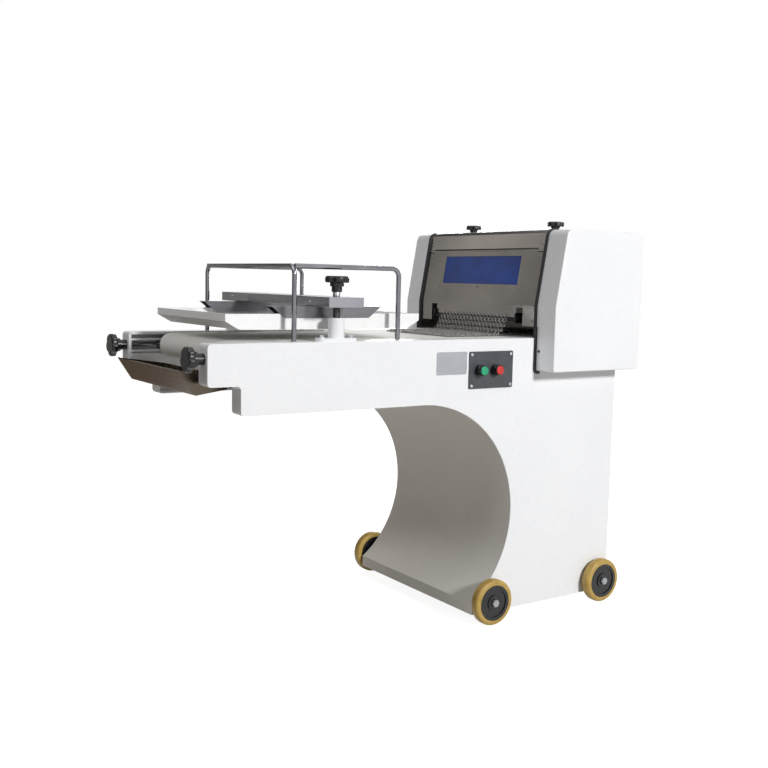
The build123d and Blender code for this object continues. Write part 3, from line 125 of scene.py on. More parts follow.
# Brushed metal sheet: long fine scratches one way, drawn wider than the real 0.2 mm so that they show
brushSize = {"wide": 2.2, "long": 90.0, "deep": 0.05, "stain": 120.0}      # mm
alongX = (brushSize["long"], brushSize["wide"], brushSize["wide"])      # down the machine's length
alongY = (brushSize["wide"], brushSize["long"], brushSize["wide"])      # across the machine


def brushedSteel(name, light, dark, scratches, rough=0.3):
    material, tree, shader = startMaterial(name, {"Metallic": 1.0})
    place = addNode(tree, "ShaderNodeTexCoord").outputs["Object"]
    lay = addNode(tree, "ShaderNodeMapping",
                  {"Vector": place, "Scale": tuple(perMm(size) for size in scratches)})
    grain = addNode(tree, "ShaderNodeTexNoise",
                    {"Vector": lay.outputs[0], "Scale": 1.0, "Detail": 4.0, "Roughness": 0.7})
    stain = addNode(tree, "ShaderNodeTexNoise",
                    {"Vector": place, "Scale": perMm(brushSize["stain"]), "Detail": 3.0})
    tone = addNode(tree, "ShaderNodeMath", {0: grain.outputs[0], 1: 0.35, 2: stain.outputs[0]},
                   operation="MULTIPLY_ADD")
    colour = addNode(tree, "ShaderNodeValToRGB", {"Fac": tone.outputs[0]},
                     stops=((0.35, dark), (0.95, light)))
    dull = addNode(tree, "ShaderNodeMapRange",
                   {"Value": grain.outputs[0], "From Min": 0.3, "From Max": 0.7,
                    "To Min": rough - 0.04, "To Max": rough + 0.06})
    bump = addNode(tree, "ShaderNodeBump",
                   {"Height": grain.outputs[0], "Strength": 0.06,
                    "Distance": brushSize["deep"] * mm})
    plug(tree, shader, {"Base Color": colour.outputs[0], "Roughness": dull.outputs[0],
                        "Normal": bump.outputs[0]})
    return material


# Drawn and polished bar, plated parts and cut metal: smooth, with a few cloudy rub marks
def polishedMetal(name, light, dark, rough=0.14, mark=18.0):
    material, tree, shader = startMaterial(name, {"Metallic": 1.0})
    place = addNode(tree, "ShaderNodeTexCoord").outputs["Object"]
    cloud = addNode(tree, "ShaderNodeTexNoise",
                    {"Vector": place, "Scale": perMm(mark), "Detail": 5.0})
    colour = addNode(tree, "ShaderNodeValToRGB", {"Fac": cloud.outputs[0]},
                     stops=((0.32, dark), (0.62, light)))
    dull = addNode(tree, "ShaderNodeMapRange",
                   {"Value": cloud.outputs[0], "From Min": 0.3, "From Max": 0.7,
                    "To Min": rough - 0.04, "To Max": rough + 0.08})
    plug(tree, shader, {"Base Color": colour.outputs[0], "Roughness": dull.outputs[0]})
    return material


# Moulded plastic and rubber, and paint or anodising as even as these: a fine grain, as a
# spark-eroded mould leaves it, and a slightly uneven gloss
plasticSize = {"cloud": 22.0}      # mm


def mouldedPlastic(name, light, dark, rough, grain=1.6, depth=0.06, ior=1.5):
    material, tree, shader = startMaterial(name, {"IOR": ior})
    place = addNode(tree, "ShaderNodeTexCoord").outputs["Object"]
    cloud = addNode(tree, "ShaderNodeTexNoise",
                    {"Vector": place, "Scale": perMm(plasticSize["cloud"]), "Detail": 4.0})
    colour = addNode(tree, "ShaderNodeValToRGB", {"Fac": cloud.outputs[0]},
                     stops=((0.3, dark), (0.7, light)))
    dull = addNode(tree, "ShaderNodeMapRange",
                   {"Value": cloud.outputs[0], "From Min": 0.3, "From Max": 0.7,
                    "To Min": rough - 0.05, "To Max": rough + 0.06})
    skin = addNode(tree, "ShaderNodeTexNoise",
                   {"Vector": place, "Scale": perMm(grain), "Detail": 2.0})
    bump = addNode(tree, "ShaderNodeBump",
                   {"Height": skin.outputs[0], "Strength": 0.3, "Distance": depth * mm})
    plug(tree, shader, {"Base Color": colour.outputs[0], "Roughness": dull.outputs[0],
                        "Normal": bump.outputs[0]})
    return material


# Coated conveyor cloth: a plain weave under a thin skin, 1.2 mm threads drawn at 3 mm so that they show
weaveSize = {"thread": 3.0, "deep": 0.15, "flour": 70.0}      # mm
wavesInOne = 20 / (2 * math.pi)      # how often a wave texture of scale 1 repeats in one unit


def coatedWeave(name, light, dark):
    material, tree, shader = startMaterial(name, {"Roughness": 0.72, "IOR": 1.45})
    place = addNode(tree, "ShaderNodeTexCoord").outputs["Object"]
    waves = perMm(weaveSize["thread"]) / wavesInOne
    warp, weft = [addNode(tree, "ShaderNodeTexWave",
                          {"Vector": place, "Scale": waves, "Distortion": 0.3},
                          bands_direction=way) for way in "XY"]
    weave = addNode(tree, "ShaderNodeMath", {0: warp.outputs["Fac"], 1: weft.outputs["Fac"]},
                    operation="MULTIPLY")
    flour = addNode(tree, "ShaderNodeTexNoise",
                    {"Vector": place, "Scale": perMm(weaveSize["flour"]), "Detail": 5.0})
    tone = addNode(tree, "ShaderNodeMath", {0: weave.outputs[0], 1: 0.25, 2: flour.outputs[0]},
                   operation="MULTIPLY_ADD")
    colour = addNode(tree, "ShaderNodeValToRGB", {"Fac": tone.outputs[0]},
                     stops=((0.3, dark), (0.75, light)))
    bump = addNode(tree, "ShaderNodeBump",
                   {"Height": weave.outputs[0], "Strength": 0.35,
                    "Distance": weaveSize["deep"] * mm})
    plug(tree, shader, {"Base Color": colour.outputs[0], "Normal": bump.outputs[0]})
    return material


# Tinted acrylic sheet: clear gloss, blue through and through, with faint wiping haze
acrylicSize = {"haze": 90.0}      # mm


def tintedAcrylic(name, light, dark):
    material, tree, shader = startMaterial(name, {"IOR": 1.49, "Transmission Weight": 0.25})
    place = addNode(tree, "ShaderNodeTexCoord").outputs["Object"]
    haze = addNode(tree, "ShaderNodeTexNoise",
                   {"Vector": place, "Scale": perMm(acrylicSize["haze"]), "Detail": 3.0})
    colour = addNode(tree, "ShaderNodeValToRGB", {"Fac": haze.outputs[0]},
                     stops=((0.35, dark), (0.65, light)))
    dull = addNode(tree, "ShaderNodeMapRange",
                   {"Value": haze.outputs[0], "To Min": 0.04, "To Max": 0.14})
    plug(tree, shader, {"Base Color": colour.outputs[0], "Roughness": dull.outputs[0]})
    return material


finishes = {
    "white_paint": powderCoat("whitePowderCoat", "#F2F3F5", "#EEEFF2"),
    "grey_paint": powderCoat("greyEnamel", "#A4A7AA", "#989B9F", gloss=0.36),
    "stainless": brushedSteel("brushedStainless", "#B2B0AD", "#9C9A97", alongY, rough=0.2),
    "bright_steel": polishedMetal("polishedBar", "#85868A", "#797A7F", mark=60.0),
    "dark_steel": polishedMetal("blackenedSteel", "#4C4C4F", "#333336", rough=0.36),
    "gear_steel": polishedMetal("machinedGearSteel", "#9C9B99", "#77767A", rough=0.3, mark=9.0),
    "cast_iron": mouldedPlastic("paintedCasting", "#5E6266", "#4C5054", rough=0.5,
                                grain=3.0, depth=0.3),
    "black_plastic": mouldedPlastic("blackPhenolic", "#0C0D12", "#07080B", rough=0.26, ior=1.46),
    "black_rubber": mouldedPlastic("extrudedRubber", "#222226", "#17171A", rough=0.62,
                                   grain=2.2, depth=0.12),
    "amber_polyurethane": mouldedPlastic("castPolyurethane", "#BFA053", "#A8873C", rough=0.42,
                                         grain=4.0),
    "belt_cream": coatedWeave("coatedBeltCloth", "#F3F2EE", "#EDEBE5"),
    "board_white": mouldedPlastic("whiteBoardSheet", "#F3F3F3", "#F0F0EF", rough=0.45,
                                  depth=0.01),
    "roller_white": mouldedPlastic("nonStickRoller", "#EEEDE8", "#E0DED6", rough=0.38),
    "window_blue": tintedAcrylic("blueAcrylic", "#2A58BE", "#244A9E"),
    "plate_slate": mouldedPlastic("slateAnodised", "#3F4348", "#34383D", rough=0.46, grain=1.2),
    "button_green": mouldedPlastic("greenButtonPlastic", "#12AA78", "#0B8F62", rough=0.22,
                                   ior=1.53),
    "button_red": mouldedPlastic("redButtonPlastic", "#DE332E", "#BF2420", rough=0.22, ior=1.53),
}
# single nodes with a grain direction or tone of their own; the darker beam, bridge and tray tones and
# the scoop's warm tint are painted reflection and shade
ownFinishAndPaintedShade = {
    # brushed lengthwise; its dark grey tone on the same stainless as the rest is painted shade and dark
    # reflection
    "hanger_beams": brushedSteel("brushedBeamPaintedShade", "#77777A", "#636367", alongX),
    "hood_shell": brushedSteel("brushedHoodSheet", "#CFCCC8", "#BDBAB7", alongY, rough=0.17),
    # its darker, bluish grey tone on stainless is painted reflection
    "bridge_channel": brushedSteel("brushedChannelPaintedReflection", "#A2A2A8", "#8E8E94", alongY, rough=0.22),
    # its dark brown tone on stainless sheet is painted reflection and shade
    "discharge_tray": brushedSteel("brushedTrayPaintedReflection", "#625A51", "#574F46", alongY, rough=0.24),
    # the same white powder coat, matt; its warm grey tint is painted shade and warm bounce light
    "scoop_panel": powderCoat("mattScoopCoatPaintedShade", "#EDEAE4", "#E7E4DD", gloss=0.62),
    "lower_scraper": finishes["dark_steel"],
    "curtain_hanger": finishes["dark_steel"],
}
for part in subparts:
    shown = nodes[part["node"]]
    shown.data.materials.clear()
    shown.data.materials.append(ownFinishAndPaintedShade.get(part["node"], finishes[part["material_slot"]]))
print("materials:", len(finishes), "finishes on", len(subparts), "nodes")

# Modelling helpers
smoothAngle = math.radians(35)      # sharper edges than this stay sharp
squarely = 0.99                     # how nearly a face's normal lies along an axis
hair = 0.01 * mm                    # slack when an edge is found by its place
screwTurn = 0.7                     # radians from one screw head to the next, so that none look alike


def clearSelection():
    # a load or a primitive leaves things selected, and operators act on all of them
    if bpy.context.object and bpy.context.object.mode != "OBJECT":
        bpy.ops.object.mode_set(mode="OBJECT")
    bpy.ops.object.select_all(action="DESELECT")


def addBar(sides, radius, tall, middle):
    # a round or many-sided bar on end, left in edit mode
    clearSelection()
    bpy.ops.mesh.primitive_cylinder_add(vertices=sides, radius=radius, depth=tall, location=middle)
    bpy.ops.object.transform_apply()
    bpy.ops.object.mode_set(mode="EDIT")
    return bpy.context.object


def addSlab(size, middle):
    # a flat block, left in edit mode
    clearSelection()
    bpy.ops.mesh.primitive_cube_add(size=1.0, location=middle)
    bpy.context.object.scale = size
    bpy.ops.object.transform_apply()
    bpy.ops.object.mode_set(mode="EDIT")
    return bpy.context.object


def pick(piece, test, kind="FACE"):
    # selects in edit mode by a test on each face or edge
    bpy.ops.mesh.select_mode(type=kind)
    bpy.ops.mesh.select_all(action="DESELECT")
    shape = bmesh.from_edit_mesh(piece.data)
    for item in (shape.faces if kind == "FACE" else shape.edges):
        item.select_set(test(item))
    bmesh.update_edit_mesh(piece.data)


def leaveEdit():
    # faces outwards, back to object mode, smooth apart from the sharp edges
    bpy.ops.mesh.select_all(action="SELECT")
    bpy.ops.mesh.normals_make_consistent(inside=False)
    bpy.ops.object.mode_set(mode="OBJECT")
    bpy.ops.object.shade_smooth_by_angle(angle=smoothAngle)


def makeRing(look, tall, middle, eased):
    # a turned ring: a bar pierced from end to end, with the edges that pass a test eased
    ring = addBar(look["sides"], look["outer"] * mm, tall, middle)
    pick(ring, lambda face: abs(face.normal.z) > squarely)
    bpy.ops.mesh.inset(thickness=(look["outer"] - look["bore"]) * mm)
    bpy.ops.mesh.bridge_edge_loops()
    pick(ring, eased, "EDGE")
    bpy.ops.mesh.bevel(offset=look["ease"] * mm, segments=look["steps"])
    leaveEdit()
    return ring


def seat(node, start, toward):
    # the point of a CAD node's surface that a straight line meets first, and which way it faces
    hit, place, normal, _ = nodes[node].ray_cast(Vector(start), Vector(toward))
    if not hit:
        raise ValueError("nothing to seat on at " + node)
    return place, normal


def copyOnto(master, places):
    # one copy of a modelled fastener at each (place, facing), joined into one piece
    clearSelection()
    copies = []
    for index, (place, facing) in enumerate(places):
        twin = master.copy()
        twin.data = master.data.copy()
        turned = facing.to_track_quat("Z", "Y").to_matrix().to_4x4()
        spin = Matrix.Rotation(index * screwTurn, 4, "Z")
        twin.matrix_world = Matrix.Translation(place) @ turned @ spin
        scene.collection.objects.link(twin)
        twin.select_set(True)
        copies.append(twin)
    bpy.context.view_layer.objects.active = copies[0]
    bpy.ops.object.join()
    bpy.ops.object.transform_apply()
    return bpy.context.object


def dress(piece, name, body, finish):
    # name, finish, and the body that the piece moves with
    piece.name = name
    piece.data.materials.append(finish)
    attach(piece, body)
    print(name + ":", len(piece.data.polygons), "faces")


# Chain-mesh curtain: rings linked in rows, hung from the rod and trailing on the belt
curtain = {
    "ringRadius": 6.7, "wire": 1.2, "tilt": 20.0, "ringSides": 12, "wireSides": 4,
    "acrossPitch": 16.0, "rowPitch": 7.9, "columns": 19, "rowPairs": 15,
    "rodFront": 7.0, "rodRise": 9.0, "fall": 44.0, "lineSteps": 32,
    "hangHandles": ((2, 8), (-4, -18)),      # of the bent line, before and after each of its points
    "fallHandles": ((20, 0), (-26, 0)),
    "endHandles": ((60, 0), (-10, 0)),
}


def makeCurtain():
    clearSelection()
    rings = []
    for row, lean in ((0, curtain["tilt"]), (1, -curtain["tilt"])):
        bpy.ops.mesh.primitive_torus_add(
            major_segments=curtain["ringSides"], minor_segments=curtain["wireSides"],
            major_radius=curtain["ringRadius"] * mm, minor_radius=curtain["wire"] * mm,
            location=(row * curtain["rowPitch"] * mm, row * curtain["acrossPitch"] / 2 * mm, 0),
            rotation=(0, math.radians(lean), 0))
        rings.append(bpy.context.object)
    for ring in rings:
        ring.select_set(True)
    bpy.ops.object.join()
    bpy.ops.object.transform_apply()
    mesh = bpy.context.object
    repeats = (
        ("across", (0, curtain["acrossPitch"] * mm, 0), curtain["columns"]),
        ("along", (2 * curtain["rowPitch"] * mm, 0, 0), curtain["rowPairs"]),
    )
    for name, step, count in repeats:
        array = mesh.modifiers.new(name, "ARRAY")
        array.use_relative_offset = False
        array.use_constant_offset = True
        array.constant_offset_displace = step
        array.count = count
        bpy.ops.object.modifier_apply(modifier=name)
    return mesh


def drapeCurtain(mesh, low, high):
    # the sheet of rings follows one bent line: down from the rod, round, and flat along the belt
    lean = curtain["ringRadius"] * math.sin(math.radians(curtain["tilt"]))
    lieZ = low.z + (lean + curtain["wire"]) * mm
    hangX = high.x - curtain["rodFront"] * mm      # the first row hangs in front of the rod
    hangZ = high.z + curtain["rodRise"] * mm
    fallX = high.x - curtain["fall"] * mm
    stops = (
        (hangX, hangZ, curtain["hangHandles"]),
        (fallX, lieZ, curtain["fallHandles"]),
        (low.x, lieZ, curtain["endHandles"]),
    )
    bpy.ops.curve.primitive_bezier_curve_add(location=(0, 0, 0))
    line = bpy.context.object
    spline = line.data.splines[0]
    spline.bezier_points.add(1)
    for point, (x, z, (before, after)) in zip(spline.bezier_points, stops):
        point.handle_left_type = point.handle_right_type = "FREE"
        point.co = (x, 0, z)
        point.handle_left = (x + before[0] * mm, 0, z + before[1] * mm)
        point.handle_right = (x + after[0] * mm, 0, z + after[1] * mm)
    line.data.dimensions = "3D"
    line.data.twist_mode = "MINIMUM"
    line.data.resolution_u = curtain["lineSteps"]
    clearSelection()
    bpy.context.view_layer.objects.active = mesh
    mesh.select_set(True)
    bend = mesh.modifiers.new("drape", "CURVE")
    bend.object = line
    bend.deform_axis = "POS_X"
    bpy.ops.object.modifier_apply(modifier="drape")
    bpy.data.objects.remove(line)
    bpy.ops.object.mode_set(mode="EDIT")
    bpy.ops.mesh.select_all(action="SELECT")
    edges = [vertex.co.y for vertex in mesh.data.vertices]
    bpy.ops.transform.translate(value=(0, -(min(edges) + max(edges)) / 2, 0))
    bpy.ops.mesh.normals_make_consistent(inside=False)
    bpy.ops.object.mode_set(mode="OBJECT")
    bpy.ops.object.shade_smooth()


# Stainless wire links: satin, with small cloudy rub marks
linkSteel = polishedMetal("stainlessChainLink", "#A3A09D", "#8B8884", rough=0.28, mark=6.0)
curtainMesh = makeCurtain()
drapeCurtain(curtainMesh, *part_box("chain_curtain"))
dress(curtainMesh, "chain_mesh", "frame", linkSteel)
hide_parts("chain_curtain")

# Small fasteners: each kind is modelled once, standing on the floor of its own seat, and copied
headShape = {"sides": 20, "round": 0.45, "steps": 3, "sink": 0.5}      # round and sink per height


def panHead(look):
    radius, height = look["radius"], look["height"]
    head = addBar(headShape["sides"], radius * mm, height * mm, (0, 0, height / 2 * mm))
    ease = height * headShape["round"]
    top = height * mm - hair
    pick(head, lambda edge: all(v.co.z > top for v in edge.verts), "EDGE")
    bpy.ops.mesh.bevel(offset=ease * mm, segments=headShape["steps"])
    pick(head, lambda face: face.normal.z > squarely and face.calc_center_median().z > top)
    bpy.ops.mesh.inset(thickness=(radius - ease - look["socket"]) * mm)
    sink = (0, 0, -height * headShape["sink"] * mm)
    bpy.ops.mesh.extrude_region_move(TRANSFORM_OT_translate={"value": sink})
    leaveEdit()
    return head


def fasten(master, name, body, finish, spots):
    # spots are (node, start, direction): a copy goes where that line meets the node
    dress(copyOnto(master, [seat(*spot) for spot in spots]), name, body, finish)


# Zinc-plated screws: bright, slightly bluish, a little cloudy
zincPlate = polishedMetal("zincPlatedScrew", "#C4C6CA", "#A6A8AD", rough=0.26, mark=4.0)
# Plain stainless screws on the hood, duller than plating
dullScrew = polishedMetal("stainlessScrew", "#9C9A97", "#807E7B", rough=0.34, mark=4.0)
# Black-oxide screws: dark and satin
blackOxide = polishedMetal("blackOxideScrew", "#3C3C3F", "#2A2A2D", rough=0.4, mark=4.0)
toHood = Vector((1, 0, 0))
toPanel = Vector((0, 1, 0))
up = Vector((0, 0, 1))
both = (-1, 1)      # near and far side, or front and rear end
lineFrom = {"hood": 0.2, "arm": -0.5, "rear": 0.9, "near": -0.5}      # m, where a line to a seat starts
smallScrew = {"radius": 3.6, "height": 2.2, "socket": 1.5}
smallHead = panHead(smallScrew)

hoodScrews = {"y": 0.250, "z": 1.031}
fasten(smallHead, "hood_screws", "frame", dullScrew,
       [("hood_shell", (lineFrom["hood"], side * hoodScrews["y"], hoodScrews["z"]), toHood)
        for side in both])

guardScrews = {"hinge": (0.250, 0.995), "tab": (0.252, 0.819), "window": (0.182, 0.908)}
guardSpots = [(side * y, z) for y, z in (guardScrews["hinge"], guardScrews["tab"]) for side in both]
guardSpots += [(side * guardScrews["window"][0], guardScrews["window"][1]) for side in (-1, 0, 1)]
fasten(smallHead, "guard_screws", "guard", dullScrew,
       [("front_guard", (lineFrom["hood"], y, z), toHood) for y, z in guardSpots])

bridgeScrews = {"y": (-0.205, 0.228), "z": 0.867}
fasten(smallHead, "bridge_screws", "bridge", zincPlate,
       [("bridge_channel", (lineFrom["arm"], y, bridgeScrews["z"]), toHood)
        for y in bridgeScrews["y"]])

coverScrews = {"y": 0.285, "z": 0.737}
fasten(smallHead, "cover_screws", "frame", blackOxide,
       [(node, (lineFrom["hood"], side * coverScrews["y"], coverScrews["z"]), toHood)
        for node, side in (("side_cover_near", -1), ("side_cover_far", 1))])

rearScrews = {"y": 0.240, "z": (0.075, 0.300, 0.525, 0.745)}
fasten(smallHead, "rear_screws", "frame", zincPlate,
       [("rear_panel", (lineFrom["rear"], side * rearScrews["y"], z), -toHood)
        for side in both for z in rearScrews["z"]])
bpy.data.objects.remove(smallHead)

plateScrews = {"radius": 4.2, "height": 2.4, "socket": 1.9, "in": 8.0}      # in from the plate's edges
plateLow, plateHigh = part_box("control_plate")
plateIn = plateScrews["in"] * mm
plateHead = panHead(plateScrews)
fasten(plateHead, "plate_screws", "frame", zincPlate,
       [("control_plate", (x, lineFrom["near"], z), toPanel)
        for x in (plateLow.x + plateIn, plateHigh.x - plateIn)
        for z in (plateLow.z + plateIn, plateHigh.z - plateIn)])
bpy.data.objects.remove(plateHead)

# Foot bolts: a hexagon head on a washer, two through the foot of each post
footBolts = {
    "across": 13.0, "headTall": 5.5, "headEase": 0.9, "steps": 2,
    "washer": 8.5, "washerThick": 1.6, "washerEase": 0.4, "washerSides": 24,
    "span": 0.040, "y": 0.249, "top": 0.781,      # m, from the posts' middle, on their feet
}


def hexBolt():
    thick = footBolts["washerThick"] * mm
    tall = footBolts["headTall"] * mm
    washer = addBar(footBolts["washerSides"], footBolts["washer"] * mm, thick, (0, 0, thick / 2))
    pick(washer, lambda edge: all(v.co.z > thick / 2 for v in edge.verts), "EDGE")
    bpy.ops.mesh.bevel(offset=footBolts["washerEase"] * mm, segments=footBolts["steps"])
    leaveEdit()
    corner = footBolts["across"] / math.sqrt(3) * mm
    head = addBar(6, corner, tall, (0, 0, thick + tall / 2))
    pick(head, lambda edge: all(v.co.z > thick + tall / 2 for v in edge.verts), "EDGE")
    bpy.ops.mesh.bevel(offset=footBolts["headEase"] * mm, segments=footBolts["steps"])
    leaveEdit()
    washer.select_set(True)
    bpy.ops.object.join()
    return head


postLow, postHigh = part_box("bridge_posts")
footX = (postLow.x + postHigh.x) / 2
footBolt = hexBolt()
footPlaces = [(Vector((footX + end * footBolts["span"], side * footBolts["y"], footBolts["top"])), up)
              for side in both for end in both]
dress(copyOnto(footBolt, footPlaces), "foot_bolts", "frame", zincPlate)
bpy.data.objects.remove(footBolt)

# Blank nameplate on the near panel: thin sheet with a pressed frame line, held by four rivets
plateSheet = {
    "low": (0.005, 0.682), "high": (0.103, 0.741),      # m, along the panel and up
    "thick": 0.8, "corner": 4.0, "cornerSteps": 4,
    "frameIn": 2.2, "frameWide": 0.5, "frameDeep": 0.3,
}
sheetLowX, sheetLowZ = plateSheet["low"]
sheetHighX, sheetHighZ = plateSheet["high"]


def makeNameplate():
    thick = plateSheet["thick"] * mm
    x = (sheetLowX + sheetHighX) / 2
    z = (sheetLowZ + sheetHighZ) / 2
    face, _ = seat("side_panel_near", (x, lineFrom["near"], z), toPanel)
    sheet = addSlab((sheetHighX - sheetLowX, thick, sheetHighZ - sheetLowZ), (x, face.y - thick / 2, z))
    pick(sheet, lambda edge: abs(edge.verts[0].co.y - edge.verts[1].co.y) > thick / 2, "EDGE")
    bpy.ops.mesh.bevel(offset=plateSheet["corner"] * mm, segments=plateSheet["cornerSteps"])
    pick(sheet, lambda face: face.normal.y < -squarely)
    bpy.ops.mesh.inset(thickness=plateSheet["frameIn"] * mm)
    bpy.ops.mesh.inset(thickness=plateSheet["frameWide"] * mm)
    bpy.ops.transform.translate(value=(0, plateSheet["frameDeep"] * mm, 0))
    bpy.ops.object.mode_set(mode="OBJECT")
    return sheet


# Etched aluminium: pale grey, satin, fine lengthwise grain
etchedAluminium = brushedSteel("etchedAluminium", "#A3A5AA", "#8F9197", alongX, rough=0.42)
nameplate = makeNameplate()
dress(nameplate, "blank_nameplate", "frame", etchedAluminium)
plateRivets = {"radius": 1.7, "height": 1.2, "socket": 0.5}
rivet = panHead(plateRivets)
rivetIn = plateSheet["corner"] * mm
rivetY = min(corner.co.y for corner in nameplate.data.vertices)
rivetPlaces = [(Vector((x, rivetY, z)), -toPanel)
               for x in (sheetLowX + rivetIn, sheetHighX - rivetIn)
               for z in (sheetLowZ + rivetIn, sheetHighZ - rivetIn)]
dress(copyOnto(rivet, rivetPlaces), "nameplate_rivets", "frame", zincPlate)
bpy.data.objects.remove(rivet)

# Bright sleeve on the spindle between the bridge and the height knob
sleeve = {"outer": 9.0, "bore": 7.6, "ease": 1.0, "gap": 0.4, "sides": 32, "steps": 2}
_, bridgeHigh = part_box("bridge_channel")
knobLow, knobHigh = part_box("height_knob")
sleeveTall = knobLow.z - bridgeHigh.z - sleeve["gap"] * mm
sleeveMiddle = (knobLow + knobHigh) / 2
sleeveMiddle.z = knobLow.z - sleeveTall / 2


def sleeveEnd(edge):
    # level edges that start at the outer wall, at both ends
    first, second = [v.co for v in edge.verts]
    wall = sleeve["outer"] * mm - hair
    return abs(first.z - second.z) < hair and (first - sleeveMiddle).xy.length > wall


spindleSleeve = makeRing(sleeve, sleeveTall, sleeveMiddle, sleeveEnd)
dress(spindleSleeve, "spindle_sleeve", "height", zincPlate)

# Black bezels that carry each button collar on almost to the coloured face
bezel = {"outer": 13.5, "bore": 12.35, "ease": 0.9, "long": 9.0, "sides": 48, "steps": 3}
bezelLong = bezel["long"] * mm
collarLow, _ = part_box("button_collars")
bezelPlaces = []
for button in ("start_button", "stop_button"):
    buttonLow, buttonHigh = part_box(button)
    middle = (buttonLow + buttonHigh) / 2
    bezelPlaces.append((Vector((middle.x, collarLow.y, middle.z)), -toPanel))


def bezelRim(edge):
    # the outer edge of the end that faces the user
    wall = bezel["outer"] * mm - hair
    return all(v.co.z > bezelLong - hair and v.co.xy.length > wall for v in edge.verts)


bezelRing = makeRing(bezel, bezelLong, Vector((0, 0, bezelLong / 2)), bezelRim)
dress(copyOnto(bezelRing, bezelPlaces), "button_bezels", "frame",
      finishes["black_plastic"])
bpy.data.objects.remove(bezelRing)

# Rubber seal over the slot between the rear panel and the hood's rear wall
rearSeal = {
    "low": 0.762, "high": 0.781,      # m
    "wide": 510.0, "thick": 4.0, "round": 1.5, "steps": 3,
    "tongueIn": 5.0, "tongueDeep": 1.4,      # the part that reaches into the slot
}


def makeRearSeal():
    thick = rearSeal["thick"] * mm
    _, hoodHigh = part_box("hood_shell")
    middleX = hoodHigh.x + thick / 2
    strip = addSlab((thick, rearSeal["wide"] * mm, rearSeal["high"] - rearSeal["low"]),
                    (middleX, 0, (rearSeal["low"] + rearSeal["high"]) / 2))
    pick(strip, lambda edge: all(v.co.x > middleX for v in edge.verts), "EDGE")
    bpy.ops.mesh.bevel(offset=rearSeal["round"] * mm, segments=rearSeal["steps"])
    pick(strip, lambda face: face.normal.x < -squarely)
    bpy.ops.mesh.inset(thickness=rearSeal["tongueIn"] * mm)
    tongue = (-rearSeal["tongueDeep"] * mm, 0, 0)
    bpy.ops.mesh.extrude_region_move(TRANSFORM_OT_translate={"value": tongue})
    leaveEdit()
    return strip


dress(makeRearSeal(), "rear_seal", "frame", finishes["black_rubber"])

# Stage: pale floor, plain soft studio light and a few dim cards that the metal mirrors
stageSet = {
    "floorSize": 18.0, "floorTone": "#A6A4A0", "floorSeen": 0.9, "ambient": 0.11,
    "paper": "#1C1C1C", "matt": 0.9, "aim": (0.1, 0, 0.6),
}
cards = {
    "sideCard": {"line": ((-3.3, -0.9), (-0.5, 3.6)), "z": (0.0, 2.4), "tone": "#7C7A78"},
    "middleCard": {"line": ((-1.44, 2.02), (-1.22, 2.37)), "z": (0.0, 2.4), "tone": "#B4AFA8"},
    "highCard": {"line": ((-2.6, 3.4), (2.6, 3.4)), "z": (2.3, 4.6), "tone": "#343337"},
    "lowCard": {"line": ((-1.5, 1.25), (0.5, 1.25)), "z": (0.0, 0.5), "tone": "#7A6858"},
}
lamps = {
    "keyLamp": {"power": 314.0, "size": (0.9, 0.8), "place": (0.95, -6.0, 2.95)},
    "topLamp": {"power": 10.0, "size": (3.0, 2.4), "place": (-0.2, -0.4, 3.1)},
    "sideLamp": {"power": 22.0, "size": (1.6, 1.6), "place": (-2.5, -0.3, 3.0)},
    # behind the machine, inside the picture, so the camera doesn't see it
    "backLamp": {"power": 100.0, "size": (1.6, 1.2), "place": (2.6, 2.6, 1.2), "hidden": True},
}
white = (1, 1, 1, 1)


def seenRays(tree):
    # 1 where the camera looks, straight, in a gloss or through glass, and 0 for light on the object
    rays = addNode(tree, "ShaderNodeLightPath")
    gloss = addNode(tree, "ShaderNodeMath",
                    {0: rays.outputs["Is Camera Ray"], 1: rays.outputs["Is Glossy Ray"]},
                    operation="MAXIMUM")
    glass = addNode(tree, "ShaderNodeMath",
                    {0: gloss.outputs[0], 1: rays.outputs["Is Transmission Ray"]},
                    operation="MAXIMUM")
    return glass.outputs[0]


def addFloor():
    clearSelection()
    bpy.ops.mesh.primitive_plane_add(size=stageSet["floorSize"], location=(0, 0, 0))
    floor = bpy.context.object
    floor.name = "studioFloor"
    paint, tree, shader = startMaterial("paleFloor", {
        "Roughness": stageSet["matt"], "Base Color": linear(stageSet["floorTone"]),
        "Emission Color": white})
    seen = addNode(tree, "ShaderNodeMath", {0: seenRays(tree), 1: stageSet["floorSeen"]},
                   operation="MULTIPLY")
    plug(tree, shader, {"Emission Strength": seen.outputs[0]})
    floor.data.materials.append(paint)


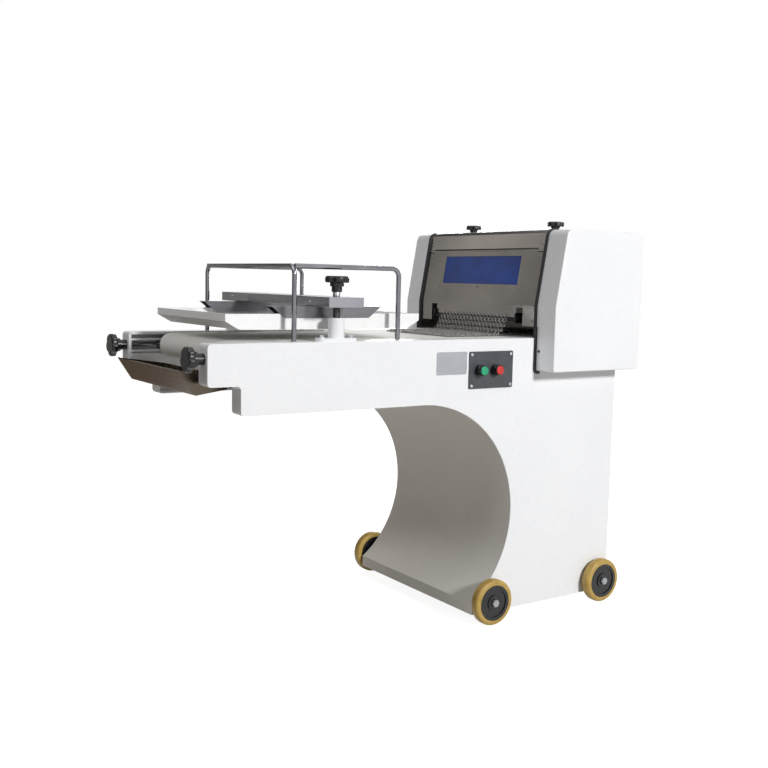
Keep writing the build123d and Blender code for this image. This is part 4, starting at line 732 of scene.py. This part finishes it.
def addCard(name, look):
    # an upright card over a line on the floor, evenly and dimly lit, not seen by the camera itself
    clearSelection()
    bpy.ops.mesh.primitive_plane_add(size=1.0)
    card = bpy.context.object
    card.name = name
    corners = [(*end, z) for z in look["z"] for end in look["line"]]
    for corner, spot in zip(card.data.vertices, corners):
        corner.co = spot
    paint, _, _ = startMaterial(name + "Paper", {
        "Roughness": stageSet["matt"], "Base Color": linear(stageSet["paper"]),
        "Emission Color": linear(look["tone"]), "Emission Strength": 1.0})
    card.data.materials.append(paint)
    card.visible_camera = False


def addLamp(name, look):
    light = bpy.data.lights.new(name, "AREA")
    light.shape = "RECTANGLE"
    light.size, light.size_y = look["size"]
    light.energy = look["power"]
    lamp = bpy.data.objects.new(name, light)
    lamp.location = look["place"]
    lamp.rotation_euler = (Vector(stageSet["aim"]) - lamp.location).to_track_quat("-Z", "Y").to_euler()
    lamp.visible_camera = not look.get("hidden", False)
    scene.collection.objects.link(lamp)


addFloor()
for name, look in cards.items():
    addCard(name, look)
for name, look in lamps.items():
    addLamp(name, look)

world = bpy.data.worlds.new("studio")
scene.world = world
world.use_nodes = True
sky = world.node_tree
level = addNode(sky, "ShaderNodeMapRange",
                {"Value": seenRays(sky), "To Min": stageSet["ambient"], "To Max": 1.0})
plug(sky, sky.nodes["Background"], {"Color": white, "Strength": level.outputs[0]})
scene.view_settings.view_transform = "Standard"
print("stage:", len(cards), "cards and", len(lamps), "lamps")

# Camera at the photograph's angle
shot = {"place": (-1.5417, -2.3338, 0.9245), "yaw": 33.93, "pitch": 5.931, "roll": 1.253,
        "lens": 47.43, "sensor": 36.0}
eye = bpy.data.cameras.new("photoCamera")
eye.lens = shot["lens"]
eye.sensor_width = shot["sensor"]
camera = bpy.data.objects.new("photoCamera", eye)
scene.collection.objects.link(camera)
camera.matrix_world = (
    Matrix.Translation(shot["place"])
    @ Matrix.Rotation(-math.radians(shot["yaw"]), 4, "Z")
    @ Matrix.Rotation(math.pi / 2 - math.radians(shot["pitch"]), 4, "X")
    @ Matrix.Rotation(math.radians(shot["roll"]), 4, "Z"))
scene.camera = camera
print("camera set")
